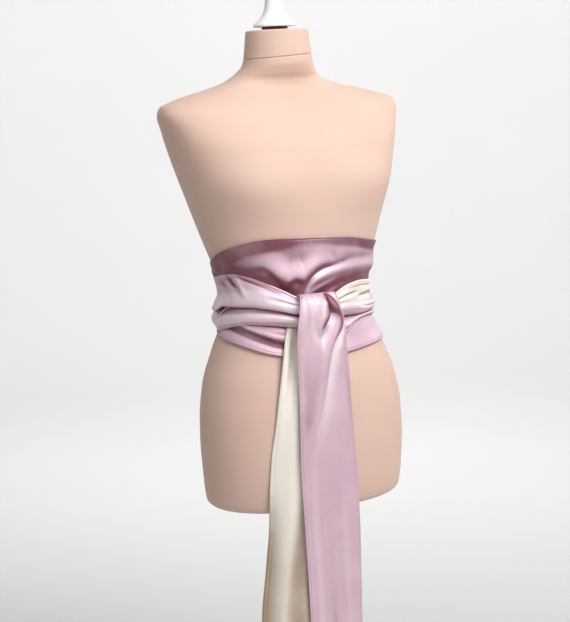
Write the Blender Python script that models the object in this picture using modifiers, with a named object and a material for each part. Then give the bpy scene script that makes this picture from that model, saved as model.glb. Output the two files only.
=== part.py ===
"""Satin sash tied round the waist of a limbless dress form.

The sash is a wide shaped front panel whose ends run on as two long ties.  The ties
cross at the back, come round over the panel and meet in a half knot in front.  One tie
then falls over the knot with its pink face out, the other hangs behind it with its
cream reverse out.  The form is a smooth torso with a separate neck, a turned cap, and
a pole on a round weighted foot.

Front is -Y, the wearer's left is +X, up is +Z, the floor is at height 0.
Tables and sizes are in millimetres and are scaled to metres where a mesh is made.
"Turn" is the angle round the form from the front, in degrees, positive towards +X.
"Lift" is the distance of a point from the surface of the form.
"""

import math

import bpy
import numpy as np

MM = 0.001

# Cloth
CLOTH_WALL = 1.2
LAYER_GAP = 0.4
FORM_GAP = 0.7
TIE_FORM_GAP = 0.5
LAYER_SOFTNESS = 0.2

# Stand
FOOT_RADIUS = 172.0
FOOT_HEIGHT = 22.0
POLE_RADIUS = 14.0
SLEEVE_RADIUS = 19.0
COLLAR_RADIUS = 46.0
COLLAR_HEIGHT = 26.0
BOARD_HEIGHT = 10.0
BOARD_INSET = 56.0
PIECE_GAP = 0.3

# Turned profiles of the stand, from the top down: radius and height above the foot
COLLAR_PROFILE = [
    (0.0, COLLAR_HEIGHT),
    (COLLAR_RADIUS, COLLAR_HEIGHT),
    (COLLAR_RADIUS, 22.0),
    (21.0, 20.0),
    (SLEEVE_RADIUS, 18.0),
    (SLEEVE_RADIUS, 0.0),
    (0.0, 0.0),
]
FOOT_PROFILE = [
    (0.0, FOOT_HEIGHT),
    (24.0, FOOT_HEIGHT),
    (30.0, 17.0),
    (60.0, 13.0),
    (158.0, 9.0),
    (169.0, 6.5),
    (FOOT_RADIUS, 3.5),
    (FOOT_RADIUS, 0.0),
    (0.0, 0.0),
]

# Finishes: colour as linear red, green and blue, then roughness and sheen
FINISHES = {
    "pink_satin": ((0.62, 0.34, 0.43), 0.36, 0.2),
    "cream_satin": ((0.76, 0.70, 0.58), 0.4, 0.2),
    "form_cover": ((0.78, 0.49, 0.37), 0.75, 0.0),
    "white_paint": ((0.85, 0.85, 0.85), 0.4, 0.0),
    "dark_plate": ((0.05, 0.04, 0.04), 0.6, 0.0),
}


def table(columns, rows):
    """Turns rows of numbers into one array for each named column."""
    values = np.array(rows, float)
    return {name: values[:, i] for i, name in enumerate(columns.split())}


# Torso and neck, a row for each level.  Depths are in front of and behind centre_y.
FORM = table(
    "height half_width front back centre_y squareness",
    [
        (748, 147.5, 104.0, 106, -8, 2.15),
        (752, 151.5, 108.0, 110, -9, 2.15),
        (764, 154.0, 111.5, 113, -10, 2.15),
        (800, 157.0, 115.0, 115, -12, 2.15),
        (840, 159.0, 115.0, 116, -13, 2.15),
        (880, 158.0, 114.0, 115, -13, 2.15),
        (930, 150.5, 111.0, 111, -11, 2.15),
        (980, 133.0, 101.0, 102, -9, 2.10),
        (1025, 115.0, 90.0, 91, -7.5, 2.10),
        (1055, 112.5, 88.5, 90, -7, 2.10),
        (1100, 121.0, 95.0, 97, -4, 2.10),
        (1150, 137.0, 105.0, 106, 0, 2.15),
        (1200, 152.5, 112.0, 112, 5, 2.20),
        (1240, 164.5, 114.0, 113, 9, 2.30),
        (1280, 176.0, 108.0, 108, 13, 2.45),
        (1310, 184.5, 90.0, 98, 15, 2.50),
        (1330, 190.0, 74.0, 86, 17, 2.50),
        (1342, 186.0, 66.0, 76, 20, 2.45),
        (1350, 168.0, 61.0, 69, 26, 2.40),
        (1358, 140.0, 58.0, 64, 32, 2.30),
        (1366, 106.0, 55.0, 58, 36, 2.20),
        (1376, 77.0, 53.0, 53, 34, 2.10),
        (1388, 61.0, 52.5, 52.5, 25, 2.05),
        (1402, 53.0, 51.0, 51, 17, 2.00),
        (1449, 46.5, 46.5, 46.5, 14, 2.00),
    ],
)
FORM_SIDES = 40
SHARP_ANGLE = math.radians(40)
BUST_HEIGHT = 1222.0
BUST_TURN = 40.0
BUST_RISE = 13.0
BUST_SPREAD_HEIGHT = 40.0
BUST_SPREAD_TURN = 26.0
NECK_SEAM_HEIGHT = 1410.0
NECK_TILT = math.tan(math.radians(3.4))
NECK_TILT_START = 1385.0
NECK_EDGE_HEIGHT = 2.0
NECK_EDGE_INSET = 1.6

# Levels of the torso's rings up to the neck seam, and of the neck's between its ends
TORSO_LEVELS = [748, 752, *range(764, 980, 36), *range(980, 1130, 15), *range(1145, 1330, 28)]
TORSO_LEVELS += [1330, 1342, 1350, 1358, 1366, 1376, 1388, 1399]
NECK_LEVELS = [1425.0, 1437.0]

# Turned cap on the neck, from its foot up: radius and height above the neck plate
CAP_PROFILE = [
    (32.0, 0.0),
    (32.0, 3.0),
    (27.5, 7.0),
    (20.0, 15.0),
    (15.0, 25.0),
    (13.6, 32.0),
    (12.4, 40.0),
    (14.8, 46.0),
    (15.6, 53.0),
    (13.2, 60.0),
    (7.5, 64.5),
    (0.0, 66.0),
]
NECK_PLATE_RADIUS = 19.5
NECK_PLATE_HEIGHT = 4.5
NECK_PLATE_SET_BACK = 7.0
TURNED_STEPS = 24
COLLAR_STEPS = 28
FOOT_STEPS = 48

# Front panel of the sash, its lower and upper edges
PANEL = table(
    "turn foot top",
    [
        (-150, 1008, 1062),
        (-120, 1008, 1092),
        (-95, 1006, 1115),
        (-77, 1001, 1130),
        (-61, 994, 1142),
        (-45, 984.5, 1149),
        (-30, 978.5, 1150.5),
        (-14, 975.5, 1150.3),
        (2, 975, 1149),
        (14, 976.5, 1147.4),
        (27, 978.5, 1144.5),
        (42, 981, 1139),
        (67, 983, 1130),
        (95, 988, 1115),
        (120, 998, 1092),
        (150, 1008, 1062),
    ],
)

# Creases pressed into the panel: each runs straight from one place to another
PANEL_CREASES = table(
    "turn0 height0 turn1 height1 half_width rise",
    [
        (-47, 1106, -35, 1089, 8, -2.2),
        (-27, 1093, -19, 1080, 6, -1.8),
        (-17, 1073, 8, 1108, 7, -2.6),
        (-13, 1070, 18, 1090, 7, 2.6),
        (18, 1090, 64, 1103, 9, 2.2),
        (16, 1078, 56, 1087, 5, -1.6),
        (-70, 1024, -32, 1004, 7, 4.6),
        (-62, 1001, -30, 989, 8, -0.6),
        (66, 1068, 76, 1112, 24, 3.6),
    ],
)
PANEL_SWELL_TURN = -12.0
PANEL_SWELL_HEIGHT = 1088.0
PANEL_SWELL_RISE = 3.4
PANEL_SWELL_SPREAD_TURN = 46.0
PANEL_SWELL_SPREAD_HEIGHT = 34.0
PANEL_HEM_FLARE = 1.8
PANEL_HEM_DEPTH = 9.0

# Turns between which the hem's flare, and then all relief, fade out towards the back
PANEL_FLARE_FADE = (60.0, 95.0)
PANEL_RELIEF_FADE = (120.0, 148.0)

# Where the panel's rows and columns of points stand
PANEL_TURNS = np.linspace(-150.0, 150.0, 47)
PANEL_SHARES = np.array([0.0, 0.06, 0.14, 0.23, 0.33, 0.44, 0.54, 0.64, 0.74, 0.87, 1.0])

# Tie that comes round the wearer's right side, from the back seam to the knot.
# A column holds the height of each fold line, from the lower edge to the upper edge.
# The lifts then say which column scales a fold, and how far it stands off at scale 1.
TIE_RIGHT_SIDE = table(
    "turn foot ridge hollow tuck lip belly slope top rest low high",
    [
        (-209.7, 1008, 1017, 1025, 1030, 1034, 1040, 1051, 1062, 0.7, 0.30, 0.30),
        (-195.0, 1021, 1030, 1038, 1043, 1047, 1053, 1064, 1076, 0.8, 0.35, 0.35),
        (-180.0, 1036, 1045, 1053, 1058, 1062, 1068, 1079, 1090, 0.8, 0.35, 0.35),
        (-165.0, 1051, 1060, 1068, 1073, 1077, 1083, 1094, 1105, 0.8, 0.35, 0.35),
        (-150.0, 1064, 1073, 1081, 1086, 1090, 1096, 1107, 1118, 2.4, 0.45, 0.40),
        (-127.0, 1038, 1046, 1053, 1058, 1061, 1073, 1091, 1108, 2.4, 0.90, 0.40),
        (-110.0, 1020, 1027, 1033.5, 1040, 1039.5, 1052, 1076, 1098, 2.4, 1.55, 0.35),
        (-96.0, 1010.5, 1024, 1034, 1043, 1042, 1056, 1075, 1091, 2.4, 1.25, 0.35),
        (-84.0, 1017, 1030, 1042, 1052, 1050.5, 1062, 1080, 1096, 2.4, 0.95, 0.55),
        (-70.0, 1023.5, 1034, 1044, 1053, 1051, 1064, 1083, 1099, 2.6, 0.88, 0.75),
        (-60.0, 1025, 1035, 1044.5, 1053.5, 1051.5, 1064, 1081, 1095.5, 2.8, 0.90, 0.85),
        (-45.0, 1024, 1034, 1042.5, 1050.5, 1048.5, 1060, 1073, 1084.5, 4.2, 1.00, 1.00),
        (-33.0, 1022, 1031.5, 1039, 1046.5, 1044.5, 1055, 1065, 1074, 8.2, 1.00, 1.00),
        (-24.0, 1021, 1029.5, 1036, 1042.5, 1041.5, 1050, 1058, 1065.5, 13.0, 0.85, 0.85),
        (-16.0, 1023, 1030, 1034.5, 1039.5, 1041, 1047, 1054, 1060, 20.5, 0.50, 0.50),
        (-12.0, 1025, 1030.5, 1035, 1039.5, 1042, 1047, 1052, 1057, 22.0, 0.35, 0.35),
    ],
)
TIE_RIGHT_SIDE_LIFTS = {
    "foot": ("low", 0.0),
    "ridge": ("low", 5.0),
    "hollow": ("low", 2.6),
    "tuck": ("low", 1.4),
    "lip": ("low", 6.8),
    "belly": ("high", 8.6),
    "slope": ("high", 4.0),
    "top": ("high", 0.0),
}
TIE_RIGHT_SIDE_TURNS = np.concatenate(
    [np.linspace(-209.7, -114.0, 15), np.linspace(-108.0, -12.0, 25)]
)

# Tie that comes round the wearer's left side: its outer part, pink face out
TIE_LEFT_SIDE = table(
    "turn foot fold gap lip ridge crown turned rest swell",
    [
        (9.0, 1012, 1017, 1023, 1028, 1037, 1046, 1042, 7.6, 0.60),
        (20.0, 1007, 1013, 1025, 1030, 1040, 1050, 1045.5, 6.6, 1.00),
        (29.0, 1016, 1020, 1026.5, 1030, 1039, 1048, 1043.5, 5.2, 1.00),
        (39.0, 1022.5, 1024.5, 1027, 1029.5, 1037, 1046.5, 1042, 4.2, 0.95),
        (50.0, 1023.5, 1026, 1028.5, 1031, 1037, 1045, 1041, 3.8, 0.90),
        (70.0, 1021, 1025, 1028.5, 1032, 1037, 1042, 1038.5, 3.6, 1.00),
        (90.0, 1019, 1026, 1032, 1036, 1044, 1053, 1057, 3.4, 0.90),
        (112.0, 1030, 1038, 1045, 1050, 1058, 1068, 1074, 2.6, 0.70),
        (130.0, 1046, 1055, 1063, 1068, 1076, 1088, 1096, 2.4, 0.50),
        (150.0, 1064, 1073, 1081, 1087, 1096, 1109, 1118, 2.4, 0.40),
        (165.0, 1051, 1060, 1068, 1074, 1083, 1096, 1105, 6.0, 0.35),
        (180.0, 1036, 1045, 1053, 1059, 1068, 1081, 1090, 6.2, 0.35),
        (195.0, 1021, 1030, 1038, 1044, 1053, 1066, 1076, 5.0, 0.35),
        (209.7, 1008, 1017, 1025, 1031, 1040, 1053, 1062, 0.7, 0.30),
    ],
)
TIE_LEFT_SIDE_LIFTS = {
    "foot": ("swell", 0.0),
    "fold": ("swell", 3.0),
    "gap": ("swell", 1.0),
    "lip": ("swell", 3.6),
    "ridge": ("swell", 6.6),
    "crown": ("swell", 4.6),
    "turned": ("swell", 1.6),
}
TIE_LEFT_SIDE_TURNS = np.concatenate([np.linspace(9.0, 70.0, 14), np.linspace(76.0, 209.7, 22)])

# The same tie's inner part, turned over so that the cream reverse shows
TIE_REVERSE = table(
    "turn foot trough ridge dip top rest swell",
    [
        (11.0, 1041, 1045, 1050, 1055, 1060, 3.6, 0.70),
        (19.0, 1040, 1047, 1054, 1061, 1068, 3.0, 0.90),
        (29.0, 1038, 1046, 1055, 1065, 1074.5, 2.6, 1.00),
        (42.0, 1036, 1044, 1053, 1065, 1077, 2.5, 1.00),
        (55.0, 1034, 1042, 1052, 1064, 1075, 2.5, 1.00),
        (70.0, 1032, 1040, 1050, 1061, 1071.5, 2.5, 0.90),
        (90.0, 1034, 1041, 1049, 1057, 1065, 2.4, 0.50),
        (110.0, 1045, 1049, 1053, 1057, 1061, 2.3, 0.05),
    ],
)
TIE_REVERSE_LIFTS = {
    "foot": ("swell", 0.0),
    "trough": ("swell", 0.6),
    "ridge": ("swell", 3.0),
    "dip": ("swell", 1.2),
    "top": ("swell", 0.6),
}
TIE_REVERSE_TURNS = np.linspace(11.0, 110.0, 19)
TIE_STEPS = 2

# Turns between which the ties leave the panel's ends, the reverse and the crossing
BEHIND_PANEL = (150.0, 158.0)
REVERSE_END = (110.0, 118.0)
CROSSING = (150.0, 152.0)
CROSSING_START = 150.3

# How far beyond the edges of the cloth below it a tie begins to rise, and has risen
REVERSE_MARGIN = (2.0, 6.0)
CROSSING_MARGIN = (2.0, 7.0)
REVERSE_CLEARANCE = 0.3

# Rounded core of the knot, the crossed layers inside it
KNOT_CENTRE = (-11.5, -110.8, 1038.0)
KNOT_HALF_SIZE = (21.5, 7.4, 18.5)
KNOT_SEGMENTS = 20
KNOT_RINGS = 10

# Tail that falls over the knot, pink face out, from behind its crest to its hem.
# "front" is the distance of its inner face in front of the form's middle plane.
TAIL_FRONT = table(
    "height front left right hollow_at hollow roll_at roll edge_back",
    [
        (1061.0, 103.0, -39, 13.0, -4, 0.0, 6, 0.0, 0.0),
        (1066.5, 106.5, -41, 14.0, -4, 0.0, 6, 0.0, 1.0),
        (1068.5, 112.5, -42.5, 14.5, -4, 0.8, 6, 0.3, 2.0),
        (1064.0, 120.5, -44.5, 15.0, -3.6, 3.6, 7, 1.5, 4.0),
        (1052.0, 126.5, -47.5, 18.5, -3.0, 6.6, 9.5, 3.0, 7.0),
        (1037.0, 129.0, -51, 20.5, -6.5, 6.2, 14.5, 3.6, 9.0),
        (1020.0, 130.0, -54.5, 23.0, -10.5, 4.4, 15, 4.2, 8.0),
        (1000.0, 130.2, -56, 24.0, -14, 2.6, 9.5, 4.0, 6.0),
        (978.0, 130.4, -56.6, 25.0, -17, 1.2, 1.0, 3.8, 4.5),
        (950.0, 131.0, -56.8, 25.5, -20, 0.0, -8.5, 3.4, 3.5),
        (915.0, 131.8, -57.3, 26.0, -22, 0.0, -17, 3.0, 2.5),
        (875.0, 132.4, -58.3, 27.0, -24, 0.0, -26, 2.5, 2.0),
        (830.0, 132.6, -59.4, 30.0, -26, 0.0, -34, 1.6, 1.6),
        (780.0, 132.6, -58.8, 31.5, -26, 0.0, -38, 0.6, 1.2),
        (710.0, 132.6, -57.2, 32.5, -26, 0.0, -38, 0.6, 1.6),
        (590.0, 132.6, -54.8, 31.0, -20, 1.2, -36, 1.6, 2.6),
        (450.0, 132.6, -53.0, 31.5, -12, 2.2, -32, 2.0, 3.2),
        (310.0, 132.6, -52.0, 32.5, -8, 3.0, -30, 2.6, 4.0),
    ],
)
TAIL_HOLLOW_HALF_WIDTH = 8.0
TAIL_ROLL_HALF_WIDTH = 8.0
TAIL_EDGE_SHARE = 0.16
TAIL_FRONT_ROWS = 28
TAIL_FRONT_COLUMNS = 13

# Tail that hangs behind, cream reverse out, from under the tie's lower edge to its hem
TAIL_BACK = table(
    "height front left right turn_away pleat",
    [
        (1023.0, 101.3, -53, -36.0, 2.2, 0.2),
        (1012.0, 106.5, -59, -33.0, 1.0, 0.8),
        (998.0, 113.0, -64.5, -30.5, 1.0, 1.4),
        (980.0, 118.5, -69, -28.0, 2.0, 1.8),
        (955.0, 122.5, -74.5, -26.0, 2.0, 1.8),
        (920.0, 127.0, -81.5, -22.0, 1.2, 1.4),
        (878.0, 129.6, -88.5, -18.0, 0.4, 0.6),
        (834.0, 130.2, -95.5, -18.0, 0.4, 0.4),
        (780.0, 130.0, -99.5, -19.0, 2.0, 0.4),
        (735.0, 129.4, -100.5, -21.0, 6.0, 0.6),
        (675.0, 129.2, -107, -26.0, 8.0, 0.8),
        (600.0, 129.0, -118, -34.0, 9.0, 1.0),
        (450.0, 128.6, -127, -42.0, 10.0, 1.2),
        (310.0, 128.2, -132, -47.0, 11.0, 1.4),
    ],
)
TAIL_BACK_PLEAT_LENGTH = 27.0
TAIL_BACK_TURNED_SHARE = 0.25
TAIL_BACK_ROWS = 24
TAIL_BACK_COLUMNS = 10
TAIL_CROWDING = 1.5

# The back tail follows the hips, and follows less of their curve once below them
BELOW_HIPS = (740.0, 560.0)
BELOW_HIPS_LOSS = 0.45
HIP_HALF_WIDTH = 159.0
HIP_DEPTH = 115.0
HIP_SQUARENESS = 2.15


def knot_slopes(places, values):
    """Slopes of a smooth curve through the values that never overshoots them."""
    steps = np.diff(places)
    rises = np.diff(values, axis=0) / steps[:, None]
    slopes = np.zeros_like(values)
    slopes[0] = rises[0]
    slopes[-1] = rises[-1]
    before = (2 * steps[1:] + steps[:-1])[:, None]
    after = (steps[1:] + 2 * steps[:-1])[:, None]
    same_way = rises[:-1] * rises[1:] > 0
    safe_low = np.where(same_way, rises[:-1], 1.0)
    safe_high = np.where(same_way, rises[1:], 1.0)
    mean = (before + after) / (before / safe_low + after / safe_high)
    slopes[1:-1] = np.where(same_way, mean, 0.0)
    return slopes


def smooth(place, places, values):
    """Reads the columns of values, given at rising places, smoothly at each place."""
    place = np.clip(np.asarray(place, float), places[0], places[-1])
    slopes = knot_slopes(places, values)
    low = np.clip(np.searchsorted(places, place) - 1, 0, len(places) - 2)
    step = (places[low + 1] - places[low])[..., None]
    share = (place - places[low])[..., None] / step
    square = share**2
    cube = share**3
    return (
        (2 * cube - 3 * square + 1) * values[low]
        + (cube - 2 * square + share) * step * slopes[low]
        + (3 * square - 2 * cube) * values[low + 1]
        + (cube - square) * step * slopes[low + 1]
    )


def columns_at(source, key, names, place):
    """Reads several named columns of a table at places along its key column."""
    values = np.stack([source[name] for name in names], axis=-1)
    return smooth(place, source[key], values)


def soft_step(value, low, high):
    """Goes smoothly from 0 at low to 1 at high."""
    share = np.clip((value - low) / (high - low), 0.0, 1.0)
    return share * share * (3 - 2 * share)


def soft_larger(first, second, softness=0.5):
    """The larger of two values, with the corner between them rounded."""
    return 0.5 * (first + second + np.sqrt((first - second) ** 2 + softness**2))


def form_radius(turn, height):
    """Distance of the form's surface from its axis, and where the axis stands in Y."""
    names = ("half_width", "front", "back", "centre_y", "squareness")
    size = columns_at(FORM, "height", names, height)
    half_width, front, back, centre_y, squareness = np.moveaxis(size, -1, 0)
    angle = np.radians(turn)
    sine = np.sin(angle)
    cosine = np.cos(angle)
    depth = np.where(cosine > 0, front, back)
    sideways = np.abs(sine / half_width) ** squareness
    forwards = np.abs(cosine / depth) ** squareness
    radius = (sideways + forwards) ** (-1 / squareness)
    for side in (-1, 1):
        away = (turn - side * BUST_TURN + 180) % 360 - 180
        across = (away / BUST_SPREAD_TURN) ** 2
        upward = ((height - BUST_HEIGHT) / BUST_SPREAD_HEIGHT) ** 2
        radius = radius + BUST_RISE * np.exp(-across - upward)
    return radius, centre_y


def on_form(turn, height, lift=0.0):
    """Point at a turn and height, moved out from the form by the lift."""
    turn, height, lift = np.broadcast_arrays(turn, height, lift)
    radius, centre_y = form_radius(turn, height)
    angle = np.radians(turn)
    x = (radius + lift) * np.sin(angle)
    y = centre_y - (radius + lift) * np.cos(angle)
    return np.stack([x, y, height], axis=-1)


def crease_lift(creases, turn, height):
    """Sum of the soft ridges and troughs of a table of straight creases."""
    degree = math.radians(1) * 100.0
    total = np.zeros(np.broadcast(turn, height).shape)
    rows = zip(*(creases[name] for name in creases))
    for turn0, height0, turn1, height1, half_width, rise in rows:
        along_x = (turn1 - turn0) * degree
        along_z = height1 - height0
        x = (turn - turn0) * degree
        z = height - height0
        share = (x * along_x + z * along_z) / (along_x**2 + along_z**2)
        nearest = np.clip(share, 0.0, 1.0)
        distance = np.hypot(x - nearest * along_x, z - nearest * along_z)
        total = total + rise * np.exp(-((distance / half_width) ** 2))
    return total


def panel_lift(turn, height):
    """How far the panel's inner face stands off the form."""
    across = ((turn - PANEL_SWELL_TURN) / PANEL_SWELL_SPREAD_TURN) ** 2
    upward = ((height - PANEL_SWELL_HEIGHT) / PANEL_SWELL_SPREAD_HEIGHT) ** 2
    swell = PANEL_SWELL_RISE * np.exp(-across - upward)
    foot = columns_at(PANEL, "turn", ("foot",), turn)[..., 0]
    in_front = 1 - soft_step(np.abs(turn), *PANEL_FLARE_FADE)
    flare = PANEL_HEM_FLARE * in_front * (1 - soft_step(height, foot, foot + PANEL_HEM_DEPTH))
    relief = swell + flare + crease_lift(PANEL_CREASES, turn, height)
    return FORM_GAP + soft_larger(relief, 0.0) * (1 - soft_step(np.abs(turn), *PANEL_RELIEF_FADE))


def curve_through(points, steps):
    """Points along smooth curves, with the same number of steps between given points.

    The given points are on the second axis, one curve for each place on the first.
    """
    before = np.concatenate([2 * points[:, :1] - points[:, 1:2], points[:, :-1]], axis=1)
    after = np.concatenate([points[:, 1:], 2 * points[:, -1:] - points[:, -2:-1]], axis=1)
    slope = (after - before) / 2
    pieces = []
    for share in np.arange(steps) / steps:
        square = share**2
        cube = share**3
        pieces.append(
            (2 * cube - 3 * square + 1) * points[:, :-1]
            + (cube - 2 * square + share) * slope[:, :-1]
            + (3 * square - 2 * cube) * points[:, 1:]
            + (cube - square) * slope[:, 1:]
        )
    woven = np.stack(pieces, axis=2)
    woven = woven.reshape(points.shape[0], -1, points.shape[2])
    return np.concatenate([woven, points[:, -1:]], axis=1)


def lifts_at(source, lifts, turn):
    """Lift of each fold line of a tie at each turn."""
    scales = columns_at(source, "turn", tuple(scale for scale, _ in lifts.values()), turn)
    rest = columns_at(source, "turn", ("rest",), turn)
    return rest + scales * np.array([lift for _, lift in lifts.values()])


def folded_tie(source, lifts, turns, floor):
    """Grid of a tie: its fold lines run along it, and it rests on the floor's lift."""
    heights = columns_at(source, "turn", tuple(lifts), turns)
    folds = np.stack([heights, lifts_at(source, lifts, turns)], axis=-1)
    section = curve_through(folds, TIE_STEPS)
    height = section[..., 0]
    turn = np.repeat(turns[:, None], height.shape[1], axis=1)
    lift = soft_larger(section[..., 1], floor(turn, height))
    return on_form(turn, height, lift)


def over_panel(turn, height):
    """Lowest lift for cloth that lies on the panel, or on the form behind its ends."""
    covered = panel_lift(turn, height) + CLOTH_WALL + LAYER_GAP
    behind = soft_step(np.abs(turn), *BEHIND_PANEL)
    return covered * (1 - behind) + TIE_FORM_GAP * behind


def right_side_outer_lift(turn, height):
    """Outer lift of the tie that lies inside the crossing at the back."""
    near, far = CROSSING_MARGIN
    heights = columns_at(TIE_RIGHT_SIDE, "turn", ("foot", "top"), turn - 360.0)
    foot, top = heights[..., 0], heights[..., -1]
    highest = lifts_at(TIE_RIGHT_SIDE, TIE_RIGHT_SIDE_LIFTS, turn - 360.0).max(axis=-1)
    inside = soft_step(height, foot - far, foot - near)
    inside = inside * (1 - soft_step(height, top + near, top + far))
    return (highest + CLOTH_WALL + LAYER_GAP) * inside


def over_reverse(turn, height):
    """Lowest lift for the pink part of the tie: over its reverse and over the crossing."""
    where = np.clip(turn, TIE_REVERSE["turn"][0], TIE_REVERSE["turn"][-1])
    foot, trough = np.moveaxis(columns_at(TIE_REVERSE, "turn", ("foot", "trough"), where), -1, 0)
    fold_lifts = lifts_at(TIE_REVERSE, TIE_REVERSE_LIFTS, where)
    rising = soft_step(height, foot, trough)
    lowest = fold_lifts.min(axis=-1)
    highest = lowest + (fold_lifts.max(axis=-1) - lowest) * rising + REVERSE_CLEARANCE
    beside = 1 - soft_step(turn, *REVERSE_END)
    near, far = REVERSE_MARGIN
    above_foot = soft_step(height, foot - far, foot - near)
    reverse = (highest + CLOTH_WALL + LAYER_GAP) * beside * above_foot
    behind = soft_step(turn, *CROSSING)
    crossing = right_side_outer_lift(np.maximum(turn, CROSSING_START), height) * behind
    over_both = soft_larger(over_panel(turn, height), reverse, LAYER_SOFTNESS)
    return soft_larger(over_both, crossing, LAYER_SOFTNESS)


def material(name):
    """A plain Principled material with the finish of that name."""
    colour, roughness, sheen = FINISHES[name]
    made = bpy.data.materials.new(name)
    made.use_nodes = True
    shader = made.node_tree.nodes["Principled BSDF"]
    shader.inputs["Base Color"].default_value = (*colour, 1.0)
    shader.inputs["Roughness"].default_value = roughness
    shader.inputs["Metallic"].default_value = 0.0
    shader.inputs["Sheen Weight"].default_value = sheen
    return made


def add_object(name, data, surface, collection):
    """Links a new object with its material into the collection."""
    made = bpy.data.objects.new(name, data)
    data.materials.append(surface)
    collection.objects.link(made)
    return made


def loft_mesh(name, rings):
    """Closed body through rings of points, with a flat cap at each end."""
    count, sides = rings.shape[:2]
    faces = [tuple(reversed(range(sides)))]
    for level in range(count - 1):
        for side in range(sides):
            after = (side + 1) % sides
            low = level * sides
            faces.append((low + side, low + after, low + sides + after, low + sides + side))
    faces.append(tuple(range((count - 1) * sides, count * sides)))
    mesh = bpy.data.meshes.new(name)
    mesh.from_pydata((rings.reshape(-1, 3) * MM).tolist(), [], faces)
    mesh.shade_smooth()
    mesh.set_sharp_from_angle(angle=SHARP_ANGLE)
    return mesh


def cloth_object(name, grid, surface, collection):
    """Cloth wall from a grid of points on its inner face, thickened outwards.

    The grid's first axis runs along the cloth, towards +X in front, and its second
    axis runs up, so that the faces look away from the form.
    """
    along, across = grid.shape[:2]
    faces = []
    for i in range(along - 1):
        for j in range(across - 1):
            corner = i * across + j
            faces.append((corner, corner + across, corner + across + 1, corner + 1))
    mesh = bpy.data.meshes.new(name)
    mesh.from_pydata((grid.reshape(-1, 3) * MM).tolist(), [], faces)
    mesh.shade_smooth()
    made = add_object(name, mesh, surface, collection)
    wall = made.modifiers.new("wall", "SOLIDIFY")
    wall.thickness = CLOTH_WALL * MM
    wall.offset = 1.0
    return made


def turned_object(name, profile, steps, location, surface, collection):
    """Turned solid from a profile of radius and height, top to bottom, at +X."""
    mesh = bpy.data.meshes.new(name)
    points = [(radius * MM, 0.0, height * MM) for radius, height in profile]
    mesh.from_pydata(points, [(i, i + 1) for i in range(len(points) - 1)], [])
    made = add_object(name, mesh, surface, collection)
    made.location = [value * MM for value in location]
    screw = made.modifiers.new("turn", "SCREW")
    screw.axis = "Z"
    screw.steps = steps
    screw.render_steps = steps
    screw.use_merge_vertices = True
    screw.merge_threshold = 0.00005
    screw.use_smooth_shade = True
    return made


def build_torso(surface, collection):
    """Torso up to the slanting seam of the neck."""
    levels = np.array([*TORSO_LEVELS, NECK_SEAM_HEIGHT], float)
    turns = np.arange(FORM_SIDES) * 360.0 / FORM_SIDES
    rings = on_form(turns[None, :], levels[:, None])
    tilt = NECK_TILT * soft_step(levels, NECK_TILT_START, NECK_SEAM_HEIGHT)
    rings[..., 2] += tilt[:, None] * rings[..., 0]
    add_object("form_torso", loft_mesh("form_torso", rings), surface, collection)


def build_neck(surface, plate_surface, cap_surface, collection):
    """Neck block above the seam, its plate and the turned cap."""
    top = FORM["height"][-1]
    seam = NECK_SEAM_HEIGHT + PIECE_GAP
    levels = np.array([seam, *NECK_LEVELS, top - NECK_EDGE_HEIGHT, top])
    turns = np.arange(FORM_SIDES) * 360.0 / FORM_SIDES
    rings = on_form(turns[None, :], levels[:, None], -NECK_EDGE_INSET * (levels == top)[:, None])
    tilt = NECK_TILT * (1 - soft_step(levels, NECK_SEAM_HEIGHT, top))
    rings[..., 2] += tilt[:, None] * rings[..., 0]
    add_object("form_neck", loft_mesh("form_neck", rings), surface, collection)
    centre_y = FORM["centre_y"][-1] + NECK_PLATE_SET_BACK
    plate_foot = top + PIECE_GAP
    plate = [(0.0, NECK_PLATE_HEIGHT), (NECK_PLATE_RADIUS, NECK_PLATE_HEIGHT)]
    plate += [(NECK_PLATE_RADIUS, 0.0), (0.0, 0.0)]
    place = (0.0, centre_y, plate_foot)
    turned_object("form_neck_plate", plate, TURNED_STEPS, place, plate_surface, collection)
    cap = list(reversed(CAP_PROFILE)) + [(0.0, 0.0)]
    place = (0.0, centre_y, plate_foot + NECK_PLATE_HEIGHT + PIECE_GAP)
    turned_object("form_neck_cap", cap, TURNED_STEPS, place, cap_surface, collection)


def build_stand(surface, collection):
    """Board under the torso, collar, pole and weighted foot."""
    bottom = FORM["height"][0]
    board_top = bottom - PIECE_GAP
    board_foot = board_top - BOARD_HEIGHT
    turns = np.arange(FORM_SIDES) * 360.0 / FORM_SIDES
    outline = on_form(turns, np.full(FORM_SIDES, bottom), -BOARD_INSET)
    rings = np.stack([outline, outline])
    rings[0, :, 2] = board_foot
    rings[1, :, 2] = board_top
    add_object("form_base_board", loft_mesh("form_base_board", rings), surface, collection)

    collar_top = board_foot - PIECE_GAP
    collar_foot = collar_top - COLLAR_HEIGHT
    place = (0.0, 0.0, collar_foot)
    turned_object("stand_collar", COLLAR_PROFILE, COLLAR_STEPS, place, surface, collection)

    pole_foot = FOOT_HEIGHT + PIECE_GAP
    pole_top = collar_foot - PIECE_GAP
    middle = (pole_foot + pole_top) / 2
    bpy.ops.mesh.primitive_cylinder_add(
        vertices=TURNED_STEPS,
        radius=POLE_RADIUS * MM,
        depth=(pole_top - pole_foot) * MM,
        location=(0.0, 0.0, middle * MM),
    )
    pole = bpy.context.active_object
    pole.name = "stand_pole"
    pole.data.materials.append(surface)
    pole.data.shade_smooth()
    pole.data.set_sharp_from_angle(angle=SHARP_ANGLE)
    for holder in list(pole.users_collection):
        holder.objects.unlink(pole)
    collection.objects.link(pole)
    turned_object("stand_foot", FOOT_PROFILE, FOOT_STEPS, (0.0, 0.0, 0.0), surface, collection)


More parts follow.
